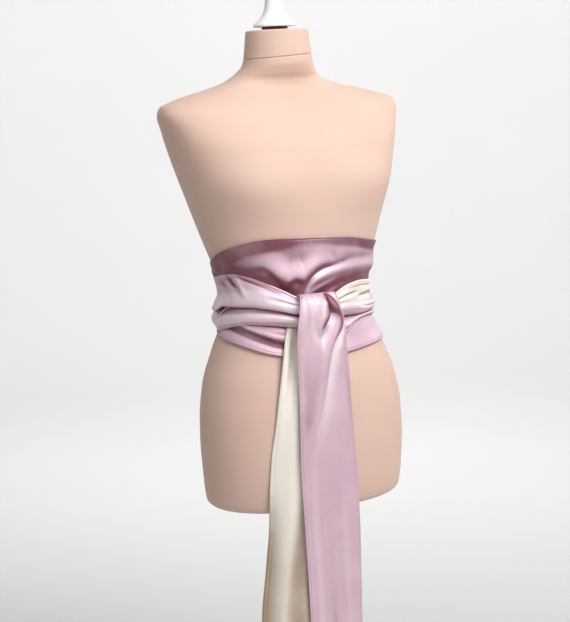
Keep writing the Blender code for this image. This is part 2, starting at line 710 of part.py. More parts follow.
def build_panel(surface, collection):
    """Wide shaped front panel, from one back seam round the front to the other."""
    foot, top = np.moveaxis(columns_at(PANEL, "turn", ("foot", "top"), PANEL_TURNS), -1, 0)
    height = foot[:, None] + (top - foot)[:, None] * PANEL_SHARES
    turn = np.repeat(PANEL_TURNS[:, None], len(PANEL_SHARES), axis=1)
    grid = on_form(turn, height, panel_lift(turn, height))
    cloth_object("sash_panel", grid, surface, collection)


def build_ties(pink, cream, collection):
    """Both ties from the back seams to the knot, and the turned-over reverse."""
    grid = folded_tie(TIE_RIGHT_SIDE, TIE_RIGHT_SIDE_LIFTS, TIE_RIGHT_SIDE_TURNS, over_panel)
    cloth_object("sash_tie_right_side", grid, pink, collection)
    grid = folded_tie(TIE_LEFT_SIDE, TIE_LEFT_SIDE_LIFTS, TIE_LEFT_SIDE_TURNS, over_reverse)
    cloth_object("sash_tie_left_side", grid, pink, collection)
    grid = folded_tie(TIE_REVERSE, TIE_REVERSE_LIFTS, TIE_REVERSE_TURNS, over_panel)
    cloth_object("sash_tie_left_reverse", grid, cream, collection)


def build_knot(surface, collection):
    """Rounded core of the half knot, behind the falling tail."""
    bpy.ops.mesh.primitive_uv_sphere_add(
        segments=KNOT_SEGMENTS,
        ring_count=KNOT_RINGS,
        radius=1.0,
    )
    core = bpy.context.active_object
    core.name = "sash_knot"
    half_size = np.array(KNOT_HALF_SIZE) * MM
    for vertex in core.data.vertices:
        vertex.co = [value * size for value, size in zip(vertex.co, half_size)]
    core.location = [value * MM for value in KNOT_CENTRE]
    core.data.materials.append(surface)
    core.data.shade_smooth()
    for holder in list(core.users_collection):
        holder.objects.unlink(core)
    collection.objects.link(core)


def tail_rows(source, count):
    """Reads every column of a tail's table at even steps along its length."""
    drop = np.hypot(np.diff(source["height"]), np.diff(source["front"]))
    length = np.concatenate([[0.0], np.cumsum(drop)])
    names = tuple(source)
    crowded = np.linspace(0.0, 1.0, count) ** TAIL_CROWDING
    values = smooth(crowded * length[-1], length, np.stack([source[n] for n in names], -1))
    return {name: values[:, i] for i, name in enumerate(names)}


def build_front_tail(surface, collection):
    """Tail that rolls over the knot and falls straight, pink face out."""
    rows = tail_rows(TAIL_FRONT, TAIL_FRONT_ROWS)
    row = {name: values[:, None] for name, values in rows.items()}
    share = np.linspace(0.0, 1.0, TAIL_FRONT_COLUMNS)[None, :]
    x = row["left"] + (row["right"] - row["left"]) * share
    hollow = row["hollow"] * np.exp(-(((x - row["hollow_at"]) / TAIL_HOLLOW_HALF_WIDTH) ** 2))
    roll = row["roll"] * np.exp(-(((x - row["roll_at"]) / TAIL_ROLL_HALF_WIDTH) ** 2))
    from_edge = np.clip(1 - (1 - share) / TAIL_EDGE_SHARE, 0.0, 1.0)
    front = row["front"] + roll - hollow - row["edge_back"] * from_edge**2
    height = row["height"] + 0.0 * share
    grid = np.stack([x, -front, height], axis=-1)[::-1]
    cloth_object("sash_tail_front", np.transpose(grid, (1, 0, 2)), surface, collection)


def hip_sag(x):
    """How far the front of the hips falls back at a distance from the middle."""
    share = np.clip(1 - np.abs(x / HIP_HALF_WIDTH) ** HIP_SQUARENESS, 0.0, 1.0)
    return HIP_DEPTH * (1 - share ** (1 / HIP_SQUARENESS))


def build_back_tail(surface, collection):
    """Tail that leaves the knot below and follows the hip, cream reverse out."""
    rows = tail_rows(TAIL_BACK, TAIL_BACK_ROWS)
    row = {name: values[:, None] for name, values in rows.items()}
    share = np.linspace(0.0, 1.0, TAIL_BACK_COLUMNS)[None, :]
    x = row["left"] + (row["right"] - row["left"]) * share
    below_form = 1 - BELOW_HIPS_LOSS * soft_step(row["height"], *BELOW_HIPS)
    edge = np.clip(1 - share / TAIL_BACK_TURNED_SHARE, 0.0, 1.0)
    pleat = row["pleat"] * np.cos((x - row["left"]) * 2 * math.pi / TAIL_BACK_PLEAT_LENGTH)
    front = row["front"] - hip_sag(x) * below_form + pleat - row["turn_away"] * edge**2
    height = row["height"] + 0.0 * share
    grid = np.stack([x, -front, height], axis=-1)[::-1]
    cloth_object("sash_tail_back", np.transpose(grid, (1, 0, 2)), surface, collection)


def main():
    """Builds the sash and the form it is worn on."""
    for old in list(bpy.data.objects):
        bpy.data.objects.remove(old, do_unlink=True)
    collection = bpy.data.collections.new("satin_sash_on_dress_form")
    bpy.context.scene.collection.children.link(collection)

    finish = {name: material(name) for name in FINISHES}
    pink, cream = finish["pink_satin"], finish["cream_satin"]
    cover, white = finish["form_cover"], finish["white_paint"]
    build_torso(cover, collection)
    build_neck(cover, finish["dark_plate"], white, collection)
    build_stand(white, collection)
    build_panel(pink, collection)
    build_ties(pink, cream, collection)
    build_knot(pink, collection)
    build_front_tail(pink, collection)
    build_back_tail(cream, collection)


main()
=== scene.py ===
"""Satin sash tied round the waist of a limbless dress form, in a plain pale studio.

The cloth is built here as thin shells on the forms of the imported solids: a wide front
panel, two ties that cross at the back and meet in a half knot, a turned-over stretch that
shows the cream reverse, and two hanging tails.  The form gets a finer body and cap.

Front is -Y, the wearer's left is +X, up is +Z.  Tables and sizes are in millimetres.
"Turn" is the angle round the form from the front, in degrees, positive towards +X.
"Lift" is the distance of a point from the surface of the form.
"""

import logging
import math
from dataclasses import dataclass, field
from enum import Enum

import bpy
import numpy as np
from mathutils import Matrix, Vector


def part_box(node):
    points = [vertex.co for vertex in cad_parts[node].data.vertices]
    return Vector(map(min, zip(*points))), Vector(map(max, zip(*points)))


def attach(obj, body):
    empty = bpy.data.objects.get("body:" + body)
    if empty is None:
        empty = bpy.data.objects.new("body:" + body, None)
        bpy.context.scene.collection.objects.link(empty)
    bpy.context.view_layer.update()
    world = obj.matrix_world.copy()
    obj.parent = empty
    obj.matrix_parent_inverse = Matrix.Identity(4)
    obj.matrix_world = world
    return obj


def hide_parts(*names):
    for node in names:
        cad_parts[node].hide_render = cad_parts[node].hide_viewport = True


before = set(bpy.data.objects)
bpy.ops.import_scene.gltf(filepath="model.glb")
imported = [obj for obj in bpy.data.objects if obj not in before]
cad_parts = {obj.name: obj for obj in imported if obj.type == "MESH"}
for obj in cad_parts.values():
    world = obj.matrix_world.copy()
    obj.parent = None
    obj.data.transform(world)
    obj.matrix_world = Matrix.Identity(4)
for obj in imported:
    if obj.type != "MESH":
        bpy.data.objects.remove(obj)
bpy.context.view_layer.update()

logging.basicConfig(level=logging.INFO, format="%(name)s: %(message)s")
LOG = logging.getLogger("sash_scene")

MM = 0.001
# Painted shade and highlight from the way a cloth leans, as if lit from above: facing up is painted
# paler, facing down deeper, and the upward lean counts only up to the limit
LEAN_PAINTED_SHADING = 1.35
LEAN_LIMIT = 0.28
# Share of that painted shade and highlight on a sewn edge, and where it grows to all of it, from the
# edge
EDGE_LEAN = 0.3
EDGE_LEAN_REACH = (3.0, 7.0)
# An inner face gets the painted shade and highlight of the outer face, turned over and weaker, as the
# other side of each fold
INNER_PAINTED_SHADING = -0.4
# Distances from a sewn edge at which the cloth has points, closer on a cloth that is
# narrower than NARROW_CLOTH, and the room that both edges together take
EDGE_STEPS = np.array([0.0, 0.6, 1.3, 2.0, 2.6, 3.1, 3.7, 4.6])
NARROW_CLOTH = 16.0
EDGE_ROOM = 10.0
# How far the row of stitches is from the sewn edge
STITCH_LINE = 3.1
# Value of a height map where nothing was added, and the least that counts as cloth
EMPTY = -1e3
LEAST_SOLID = -500.0
# Millimetres round the form for each degree of turn, for a tie's creases, swells and
# stitches
TIE_DEGREE = 2.1

Table = dict[str, np.ndarray]
Colour = tuple[float, float, float]


def table(columns: str, rows: list[tuple[float, ...]]) -> Table:
    """Turns rows of numbers into one array for each named column.

    Args:
        columns: The columns' names, with a space between them.
        rows: The numbers, a row for each place.

    Returns:
        The columns by name.
    """
    values = np.array(rows, float)
    return {name: values[:, i] for i, name in enumerate(columns.split())}


# The form's body, a row for each level.  Depths are in front of and behind centre_y.
FORM_LEVELS = table(
    "height half_width front back centre_y squareness",
    [
        (748, 147.5, 104, 106, -8, 2.15), (752, 151.5, 108, 110, -9, 2.15),
        (764, 154, 111.5, 113, -10, 2.15), (800, 157, 115, 115, -12, 2.15),
        (840, 159, 115, 116, -13, 2.15), (880, 158, 114, 115, -13, 2.15),
        (930, 150.5, 111, 111, -11, 2.15), (980, 133, 101, 102, -9, 2.1),
        (1025, 115, 90, 91, -7.5, 2.1), (1055, 112.5, 88.5, 90, -7, 2.1),
        (1100, 121, 95, 97, -4, 2.1), (1150, 137, 105, 106, 0, 2.15),
        (1200, 152.5, 112, 112, 5, 2.2), (1240, 164.5, 114, 113, 9, 2.3),
        (1280, 176, 108, 108, 13, 2.45), (1310, 184.5, 90, 98, 15, 2.5),
        (1330, 190, 74, 86, 17, 2.5), (1342, 186, 66, 76, 20, 2.45), (1350, 168, 61, 69, 26, 2.4),
        (1358, 140, 58, 64, 32, 2.3), (1366, 106, 55, 58, 36, 2.2), (1376, 77, 53, 53, 34, 2.1),
        (1388, 61, 52.5, 52.5, 25, 2.05), (1402, 53, 51, 51, 17, 2),
        (1449, 46.5, 46.5, 46.5, 14, 2),
    ],
)

# Lower and upper edge of the front panel
PANEL_EDGES = table(
    "turn foot top",
    [
        (-150, 1008, 1062), (-120, 1008, 1092), (-95, 1006, 1115), (-77, 1001, 1130),
        (-61, 994, 1142), (-45, 984.5, 1149), (-30, 978.5, 1150.5), (-14, 975.5, 1150.3),
        (2, 975, 1149), (14, 976.5, 1147.4), (27, 978.5, 1144.5), (42, 981, 1139), (67, 983, 1130),
        (95, 988, 1115), (120, 998, 1092), (150, 1008, 1062),
    ],
)

# Fold lines of the tie that comes round the wearer's right side, lower edge first
RIGHT_TIE_FOLDS = table(
    "turn foot ridge hollow tuck lip belly slope top rest low high",
    [
        (-209.7, 1008, 1017, 1025, 1030, 1034, 1040, 1051, 1062, 0.7, 0.3, 0.3),
        (-195, 1021, 1030, 1038, 1043, 1047, 1053, 1064, 1076, 0.8, 0.35, 0.35),
        (-180, 1036, 1045, 1053, 1058, 1062, 1068, 1079, 1090, 0.8, 0.35, 0.35),
        (-165, 1051, 1060, 1068, 1073, 1077, 1083, 1094, 1105, 0.8, 0.35, 0.35),
        (-150, 1064, 1073, 1081, 1086, 1090, 1096, 1107, 1118, 2.4, 0.45, 0.4),
        (-127, 1038, 1046, 1053, 1058, 1063, 1073, 1091, 1108, 2.4, 0.9, 0.4),
        (-110, 1020, 1027, 1032.5, 1037, 1042, 1053, 1076, 1098, 2.4, 1.5, 0.35),
        (-102, 1014, 1024, 1032.5, 1039.5, 1041.5, 1053, 1075, 1094, 2.4, 1.45, 0.35),
        (-96, 1010.5, 1023, 1034, 1044, 1041, 1055, 1075, 1091, 2.4, 1.32, 0.35),
        (-84, 1016.5, 1028, 1041.5, 1054, 1050, 1060, 1080, 1096, 2.4, 1.05, 0.6),
        (-70, 1023.5, 1031.5, 1043.5, 1055, 1051, 1061.5, 1083, 1099, 2.6, 1, 0.85),
        (-60, 1025, 1033, 1045, 1056, 1051.5, 1062, 1081, 1095.5, 2.8, 1, 0.95),
        (-45, 1024, 1032.5, 1043.5, 1053, 1048.5, 1058.5, 1073, 1084.5, 4.2, 1.1, 1.05),
        (-33, 1022, 1031, 1040.5, 1048.5, 1044.5, 1054, 1065, 1074, 8.2, 1.05, 1),
        (-24, 1021, 1029.5, 1037, 1043.5, 1041, 1049.5, 1058, 1065.5, 13, 0.85, 0.85),
        (-16, 1023, 1030, 1034.5, 1039.5, 1041, 1047, 1054, 1060, 20.5, 0.5, 0.5),
        (-12, 1025, 1030.5, 1035, 1039.5, 1042, 1047, 1052, 1057, 22, 0.35, 0.35),
    ],
)
RIGHT_TIE_LIFTS = {
    "foot": ("low", 0.0),
    "ridge": ("low", 7.0),
    "hollow": ("low", 3.0),
    "tuck": ("low", -1.6),
    "lip": ("low", 7.4),
    "belly": ("high", 9.0),
    "slope": ("high", 4.0),
    "top": ("high", 0.0),
}
# Painted shade and highlight on each fold line, foot first: deepest in the tuck under the lip, palest
# on the ridge
RIGHT_TIE_PAINTED_SHADING = (-0.7, 2.2, -0.6, -2.4, -0.1, 1.4, 0.0, -0.35)

# Fold lines of the tie that comes round the wearer's left side, pink face out
LEFT_TIE_FOLDS = table(
    "turn foot fold gap lip ridge crown turned rest swell",
    [
        (9, 1010, 1016, 1029, 1029.5, 1037, 1046, 1041, 7.6, 0.6),
        (20, 1005, 1015.5, 1031, 1030.5, 1039, 1049, 1044.5, 6.6, 1.05),
        (29, 1014, 1020.5, 1031, 1029.5, 1038, 1047.5, 1043, 5.2, 1.1),
        (39, 1021.5, 1024.5, 1029.5, 1028.8, 1036, 1045.5, 1041, 4.2, 1.05),
        (50, 1023, 1025.5, 1028.5, 1029.5, 1036, 1044.5, 1040.5, 3.8, 1),
        (70, 1020, 1024.5, 1028.5, 1032, 1037, 1043, 1039, 3.6, 1.05),
        (90, 1019, 1026, 1032, 1036, 1044, 1053, 1057, 3.4, 0.9),
        (112, 1030, 1038, 1045, 1050, 1058, 1068, 1074, 2.6, 0.7),
        (130, 1046, 1055, 1063, 1068, 1076, 1088, 1096, 2.4, 0.5),
        (150, 1064, 1073, 1081, 1087, 1096, 1109, 1118, 2.4, 0.4),
        (165, 1051, 1060, 1068, 1074, 1083, 1096, 1105, 4.6, 0.4),
        (180, 1036, 1045, 1053, 1059, 1068, 1081, 1090, 4.8, 0.4),
        (195, 1021, 1030, 1038, 1044, 1053, 1066, 1076, 4, 0.35),
        (209.7, 1008, 1017, 1025, 1031, 1040, 1053, 1062, 0.7, 0.3),
    ],
)
LEFT_TIE_LIFTS = {
    "foot": ("swell", 0.0),
    "fold": ("swell", 3.6),
    "gap": ("swell", -3.2),
    "lip": ("swell", 4.4),
    "ridge": ("swell", 6.8),
    "crown": ("swell", 4.6),
    "turned": ("swell", 1.6),
}
# Painted shade and highlight on each fold line, foot first: deepest in the gap, palest on the crown
LEFT_TIE_PAINTED_SHADING = (-0.5, 0.8, -1.5, -0.2, 0.5, 1.0, 0.2)

# Fold lines of the same tie where it is turned over and shows its cream reverse
REVERSE_FOLDS = table(
    "turn foot band pocket ridge dip top rest swell",
    [
        (11, 1041, 1045, 1048.5, 1052.5, 1056.5, 1060, 3.6, 0.7),
        (19, 1040, 1048.5, 1054, 1058.5, 1063.5, 1068, 3, 0.95),
        (29, 1038, 1049, 1056.5, 1062, 1068.5, 1074.5, 2.6, 1.1),
        (42, 1036, 1047, 1056, 1063, 1070.5, 1077, 2.5, 1.05),
        (55, 1034, 1044, 1053, 1061, 1068.5, 1075, 2.5, 1),
        (70, 1032, 1041.5, 1049.5, 1057.5, 1065, 1071.5, 2.5, 0.9),
        (90, 1034, 1041, 1047, 1053, 1059, 1065, 2.4, 0.5),
        (110, 1045, 1048, 1051, 1054.5, 1058, 1061, 2.3, 0.05),
    ],
)
REVERSE_LIFTS = {
    "foot": ("swell", 0.0),
    "band": ("swell", 2.8),
    "pocket": ("swell", 2.2),
    "ridge": ("swell", 3.4),
    "dip": ("swell", 2.8),
    "top": ("swell", 1.4),
}
# Painted shade and highlight on each fold line, foot first: deepest at the foot and in the pocket
REVERSE_PAINTED_SHADING = (-0.9, 0.2, -0.6, 0.1, -0.4, 0.1)

# Tail that falls over the knot, from behind its crest to its hem.  "front" is the
# distance of its inner face in front of the form's middle plane.
FRONT_TAIL_ROWS = table(
    "height front left right hollow_at hollow edge_back",
    [
        (1061, 103, -39, 13, -4, 0, 0), (1066.5, 106.5, -41, 14, -4, 0, 1),
        (1068.5, 112.5, -42.5, 14.8, -3.5, 1.4, 2), (1064, 120.5, -44.5, 16.2, -2, 4.6, 4),
        (1052, 126.5, -47.5, 21.5, 2.5, 7.6, 6.5), (1037, 129, -51, 26, 0.5, 6.4, 8),
        (1020, 130, -54.5, 27.8, -9, 4, 7.5), (1000, 130.2, -56, 26, -14, 1.6, 6),
        (978, 130.4, -56.6, 25.5, -17, 0.6, 4.5), (950, 131, -56.8, 25.7, -20, 0, 3.5),
        (915, 131.8, -57.3, 26, -22, 0, 2.5), (875, 132.4, -58.3, 27, -24, 0, 2),
        (830, 132.6, -59.4, 30, -26, 0, 1.6), (780, 132.6, -58.8, 31.5, -26, 0, 1.2),
        (710, 132.6, -57.2, 32.5, -26, 0, 1.6), (590, 132.6, -54.8, 31, -20, 1.2, 2.6),
        (450, 132.6, -53, 31.5, -12, 2.2, 3.2), (310, 132.6, -52, 32.5, -8, 3, 4),
    ],
)

# Tail that hangs behind, cream reverse out, from under the tie's lower edge to its hem
BACK_TAIL_ROWS = table(
    "height front left right turn_away pleat",
    [
        (1023, 101.3, -53, -36, 2.2, 0.2), (1012, 106.5, -59, -33, 1, 0.8),
        (998, 113, -64.5, -30.5, 1, 1.4), (980, 118.5, -69, -28, 2, 1.8),
        (955, 122.5, -74.5, -26, 2, 1.8), (920, 127, -81.5, -22, 1.2, 1.4),
        (878, 129.6, -88.5, -18, 0.4, 0.6), (834, 130.2, -95.5, -18, 0.4, 0.4),
        (780, 130, -99.5, -19, 2, 0.4), (735, 129.4, -100.5, -21, 6, 0.6),
        (675, 129.2, -107, -26, 8, 0.8), (600, 129, -118, -34, 9, 1),
        (450, 128.6, -127, -42, 10, 1.2), (310, 128.2, -132, -47, 11, 1.4),
    ],
)

# Creases of the front panel: along is the turn, across the height, and right and left
# are the half widths on each side of the line's direction, below and above it here.
PANEL_CREASES = {
    "hanging_swell": [
        (-60, 1112, 9, 14, 0.8), (-52, 1113, 9, 16, 2.8), (-45, 1111, 9, 18, 4.8),
        (-39, 1104, 10, 18, 6), (-34, 1096, 10, 18, 6.2), (-29, 1090, 9, 18, 5.4),
        (-24, 1093, 8, 18, 4.8), (-19, 1093, 8, 18, 4.8), (-15, 1091, 8, 18, 4.6),
        (-10, 1098, 8, 16, 4.2), (-4, 1106, 7, 14, 3.4), (4, 1110, 7, 12, 2.4),
        (16, 1112, 8, 12, 1),
    ],
    "left_arch": [
        (-56, 1101, 6, 5, -0.8), (-50, 1104, 5, 4, -1.8), (-45, 1104, 5, 4, -2.2),
        (-41, 1097, 6, 4, -2.4), (-37, 1085, 7, 4, -2.4), (-33, 1075, 8, 4, -2.2),
        (-27, 1069, 8, 5, -1.8), (-20, 1066, 8, 5, -1),
    ],
    "small_arch": [
        (-28.5, 1076, 5, 4, -1), (-26, 1082, 5, 4, -1.6), (-22.9, 1085.5, 5, 4, -1.9),
        (-19.5, 1082, 5, 4, -1.8), (-18.5, 1073, 5, 4, -1),
    ],
    "slanting_trough": [
        (-20, 1062, 6, 5, -1.6), (-17.5, 1070, 5.5, 5, -2.6), (-15, 1079, 5.5, 5, -3.4),
        (-11, 1090, 5.5, 5.5, -3.6), (-5.7, 1098, 5.5, 6, -3.2), (1.5, 1103.5, 5, 6, -2.6),
        (9, 1104.5, 5, 6, -1.8), (20, 1107, 6, 6, -0.8),
    ],
    "drawn_ridge": [
        (-16.5, 1062, 5, 4, 1.8), (-13, 1073, 6, 4.5, 2.8), (-9, 1082, 7.5, 5, 3.4),
        (-2.5, 1089.5, 9, 6, 3.8), (12, 1097, 11, 7.5, 4), (30, 1100, 11, 8.5, 4),
        (46, 1099, 12, 9, 3.8), (62, 1096, 13, 11, 3.4), (84, 1093, 15, 13, 2.2),
        (104, 1086, 15, 13, 1),
    ],
    "right_trough": [
        (-5, 1062, 4, 4, -1.4), (4, 1069, 4, 4, -2.2), (14.8, 1076, 4, 4.5, -2.6),
        (33, 1082, 5, 5, -2.6), (52, 1084, 5, 5, -2.4), (70, 1082, 6, 6, -1.6),
        (90, 1078, 6, 6, -0.6),
    ],
    "small_ridge": [
        (-15, 1061, 3, 3, 0.8), (-10.5, 1068, 3.5, 3.5, 1.4), (-4, 1074.5, 3.5, 3.5, 1.6),
        (4, 1080, 4, 3.5, 1.2), (12, 1085, 4, 3.5, 0.5),
    ],
    "top_hollow": [
        (-2, 1142, 6, 3, -0.3), (18, 1139, 7, 3, -1.3), (36, 1133.5, 7, 3, -1.6),
        (60, 1124, 7, 3, -1.5), (84, 1113, 7, 3, -1), (100, 1103, 7, 3, -0.4),
    ],
    "top_swell": [
        (-70, 1112, 12, 10, 0.5), (-50, 1128, 12, 10, 0.8), (-28, 1131, 16, 10, 0.8),
        (-6, 1129, 16, 10, 0.9), (14, 1124, 12, 10, 0.9), (40, 1119, 10, 8, 1.2),
        (66, 1111, 10, 8, 0.8),
    ],
    "short_dent": [
        (9, 1125, 4, 4, -0.2), (11, 1119, 4, 4, -0.5), (14, 1113, 4, 4, -0.2),
    ],
    "lower_ridge": [
        (-84, 1026, 7, 4, 1), (-74, 1025.5, 7, 3.5, 3), (-66.6, 1023.5, 7, 3, 4.6),
        (-59.4, 1019.5, 7, 3, 5.2), (-49.7, 1014.5, 7, 3, 5.2), (-40.3, 1009.5, 7, 3.5, 4.8),
        (-30, 1006, 7, 4, 4), (-18, 1004, 8, 5, 2.6), (-4, 1005, 9, 6, 1.2),
    ],
    "lower_trough": [
        (-86, 1019, 5, 5, -0.8), (-74, 1016.5, 5, 5, -2.4), (-62, 1011, 6, 5, -3.8),
        (-50, 1002.5, 6, 5, -4.2), (-38, 995.5, 6, 5, -3.6), (-24, 991, 7, 6, -2),
        (-12, 989, 7, 6, -0.8),
    ],
    "lower_swell": [
        (-90, 1010, 12, 12, 0.6), (-70, 1006, 14, 14, 2), (-48, 1000, 15, 15, 2.4),
        (-26, 996, 15, 15, 2), (-8, 996, 14, 14, 1),
    ],
    "hem_roll": [
        (-96, 1012, 5, 5, 0.6), (-80, 1008.5, 5, 5, 1.4), (-64, 1001, 5, 5, 1.8),
        (-48, 992, 5, 5, 1.8), (-34, 986, 5, 5, 1.4), (-16, 983, 5, 6, 0.9), (6, 982, 5, 7, 0.9),
        (26, 985, 5, 8, 1.3), (46, 987.5, 5, 8, 1.4), (68, 990, 5, 8, 1), (88, 994, 5, 7, 0.4),
    ],
    "right_lower_swell": [
        (16, 1004, 14, 12, 0.6), (34, 1007, 14, 12, 1.3), (56, 1008, 14, 12, 1.4),
        (80, 1007, 12, 10, 0.7),
    ],
    "left_side_crease": [
        (-118, 1090, 5, 7, -0.5), (-104, 1101, 5, 7, -1.2), (-90, 1108, 5, 7, -1.3),
        (-76, 1113, 5, 7, -0.6),
    ],
    "left_side_swell": [
        (-122, 1099, 6, 8, 0.4), (-106, 1111, 6, 8, 1), (-90, 1118, 6, 8, 1.2),
        (-74, 1124, 6, 8, 0.7),
    ],
    "right_side_crease": [
        (78, 1066, 5, 6, -0.5), (96, 1078, 5, 6, -1.4), (112, 1085, 5, 6, -1.2),
        (128, 1086, 5, 6, -0.4),
    ],
}

# Strokes that deepen the panel's tone, where the satin turns away from the light.  They
# are laid out like its creases, but their rise goes to the tone and not to the shape.
PANEL_SHADES = {
    "upper_left": [
        (-96, 1112, 12, 12, -0.2), (-66, 1132, 10, 12, -0.6), (-48, 1137, 9, 12, -0.9),
        (-36, 1140, 8, 10, -0.7), (-24, 1142, 7, 10, -0.2), (-14, 1143, 7, 10, 0),
    ],
    "diagonal": [
        (-80, 1018, 4, 5, -0.3), (-72, 1015, 5, 5, -0.9), (-62, 1010, 6, 5, -1.2),
        (-50, 1003, 6, 5, -1.2), (-38, 995, 6, 5, -1), (-26, 990, 6, 6, -0.5),
    ],
}

# Creases of the ties: along is the turn, across the number of the fold line
RIGHT_TIE_CREASES = {
    "closed_loop": [
        (-93, 2.5, 9, 9, 0), (-99, 2.5, 9, 9, 4.6), (-106, 2.5, 9, 9, 6.8), (-116, 2.5, 9, 9, 5.6),
        (-128, 2.5, 9, 9, 2.4), (-140, 2.5, 9, 9, 0),
    ],
    "under_seam": [
        (-72, 6.9, 2.5, 2.5, -0.4), (-65.6, 6.78, 3, 2.2, -1.5), (-58.3, 6.55, 3, 2.4, -1.9),
        (-51.9, 6.38, 3, 2.6, -1.6), (-45, 6.25, 3, 3, -0.9), (-36, 6.1, 3, 3, -0.3),
    ],
    "dent": [
        (-76.5, 6.8, 4, 3, -0.9), (-74, 6.45, 4.5, 2.5, -2), (-72.5, 6.08, 5, 2.4, -2.5),
        (-69.5, 5.72, 5, 2.4, -2.3), (-66, 5.48, 4, 2.4, -1.4),
    ],
    "dent_rim": [
        (-69.5, 6.8, 2.5, 3.5, 1), (-67.2, 6.3, 2.2, 4, 1.7), (-64.5, 5.75, 2.2, 4, 1.8),
        (-61.3, 5.35, 2.5, 4, 1),
    ],
    "second_dent": [
        (-88, 6.2, 4, 4, -0.6), (-83, 5.9, 4, 4, -1.6), (-79, 5.55, 4, 4, -1.5),
        (-75, 5.3, 4, 4, -0.5),
    ],
    "lip_fullness": [
        (-90, 4.45, 4, 5, 0.8), (-80, 4.6, 4, 5, 1.8), (-72, 4.8, 4, 5, 2.2),
        (-62, 4.85, 4, 6, 1.6), (-48, 4.8, 4, 6, 1), (-34, 4.75, 4, 5, 0.6),
    ],
    "upper_run": [
        (-58, 5.75, 5, 5, 0.4), (-46, 5.7, 4, 4, 1.2), (-34, 5.75, 3, 3, 1.3),
        (-22, 5.9, 2.5, 2.5, 1.2), (-10, 6, 2.5, 2.5, 1),
    ],
    "upper_run_trough": [
        (-44, 5.35, 3, 3, -0.4), (-34, 5.3, 2.5, 2.5, -1), (-24, 5.35, 2, 2, -1.3),
        (-10, 5.45, 2, 2, -1.2),
    ],
    "top_gather": [
        (-38, 6.45, 2.5, 2.5, -0.3), (-28, 6.45, 2, 2, -1), (-20, 6.4, 2, 2, -1.2),
        (-8, 6.4, 2, 2, -1),
    ],
    "inner_roll": [
        (-74, 2.75, 1.8, 2, 0.6), (-78, 2.55, 1.8, 2, 2.2), (-84, 2.3, 1.8, 2, 3),
        (-90, 2.05, 1.8, 2, 3.4), (-95, 1.8, 1.8, 2, 3.2), (-96, 1.55, 1.8, 2, 2.2),
        (-92, 1.35, 2, 2, 1),
    ],
    "inner_pocket": [
        (-92, 1.8, 2.2, 2.2, -1.2), (-86, 2, 2.4, 2.4, -2.2), (-80, 2.25, 2.4, 2.4, -1.8),
        (-74, 2.45, 2.2, 2.2, -0.6),
    ],
    "second_band_step": [
        (-82, 1.5, 5, 2.2, 0.4), (-73, 1.52, 6, 2, 2), (-62, 1.58, 6, 1.9, 2.7),
        (-50, 1.62, 6, 1.9, 2.7), (-38, 1.62, 6, 2, 2.2), (-26, 1.5, 5, 2.2, 1.2),
    ],
    "second_band_line": [
        (-66, 0.62, 2.5, 2.5, -0.3), (-54, 0.62, 2.2, 2.2, -0.9), (-40, 0.6, 2, 2, -1.1),
        (-28, 0.6, 2, 2, -1.1), (-12, 0.62, 2, 2, -0.8),
    ],
    "dark_hole": [
        (-35, 2.55, 3, 3, -1), (-30, 2.5, 3.4, 3.4, -5.5), (-25, 2.45, 3.4, 3.4, -6.5),
        (-20, 2.4, 3, 3, -3),
    ],
    "back_run_low": [
        (-205, 1.6, 5, 5, 0.8), (-188, 1.4, 5, 5, 1.4), (-168, 1.5, 5, 5, 1.4),
        (-148, 1.6, 5, 5, 1.6), (-128, 1.5, 5, 5, 1.4), (-112, 1.4, 5, 5, 0.6),
    ],
    "back_run_high": [
        (-196, 5.2, 6, 6, 0.6), (-176, 5.5, 6, 6, 1.4), (-156, 5.6, 6, 5, 1.8),
        (-138, 5.4, 6, 5, 1.8), (-120, 5.2, 5, 5, 1.4), (-104, 5.1, 5, 5, 0.6),
    ],
    "back_trough": [
        (-170, 6.2, 4, 4, -0.4), (-152, 6.3, 4, 4, -1.3), (-134, 6.2, 4, 4, -1.5),
        (-116, 6, 4, 4, -1.2), (-100, 5.9, 4, 4, -0.4),
    ],
}

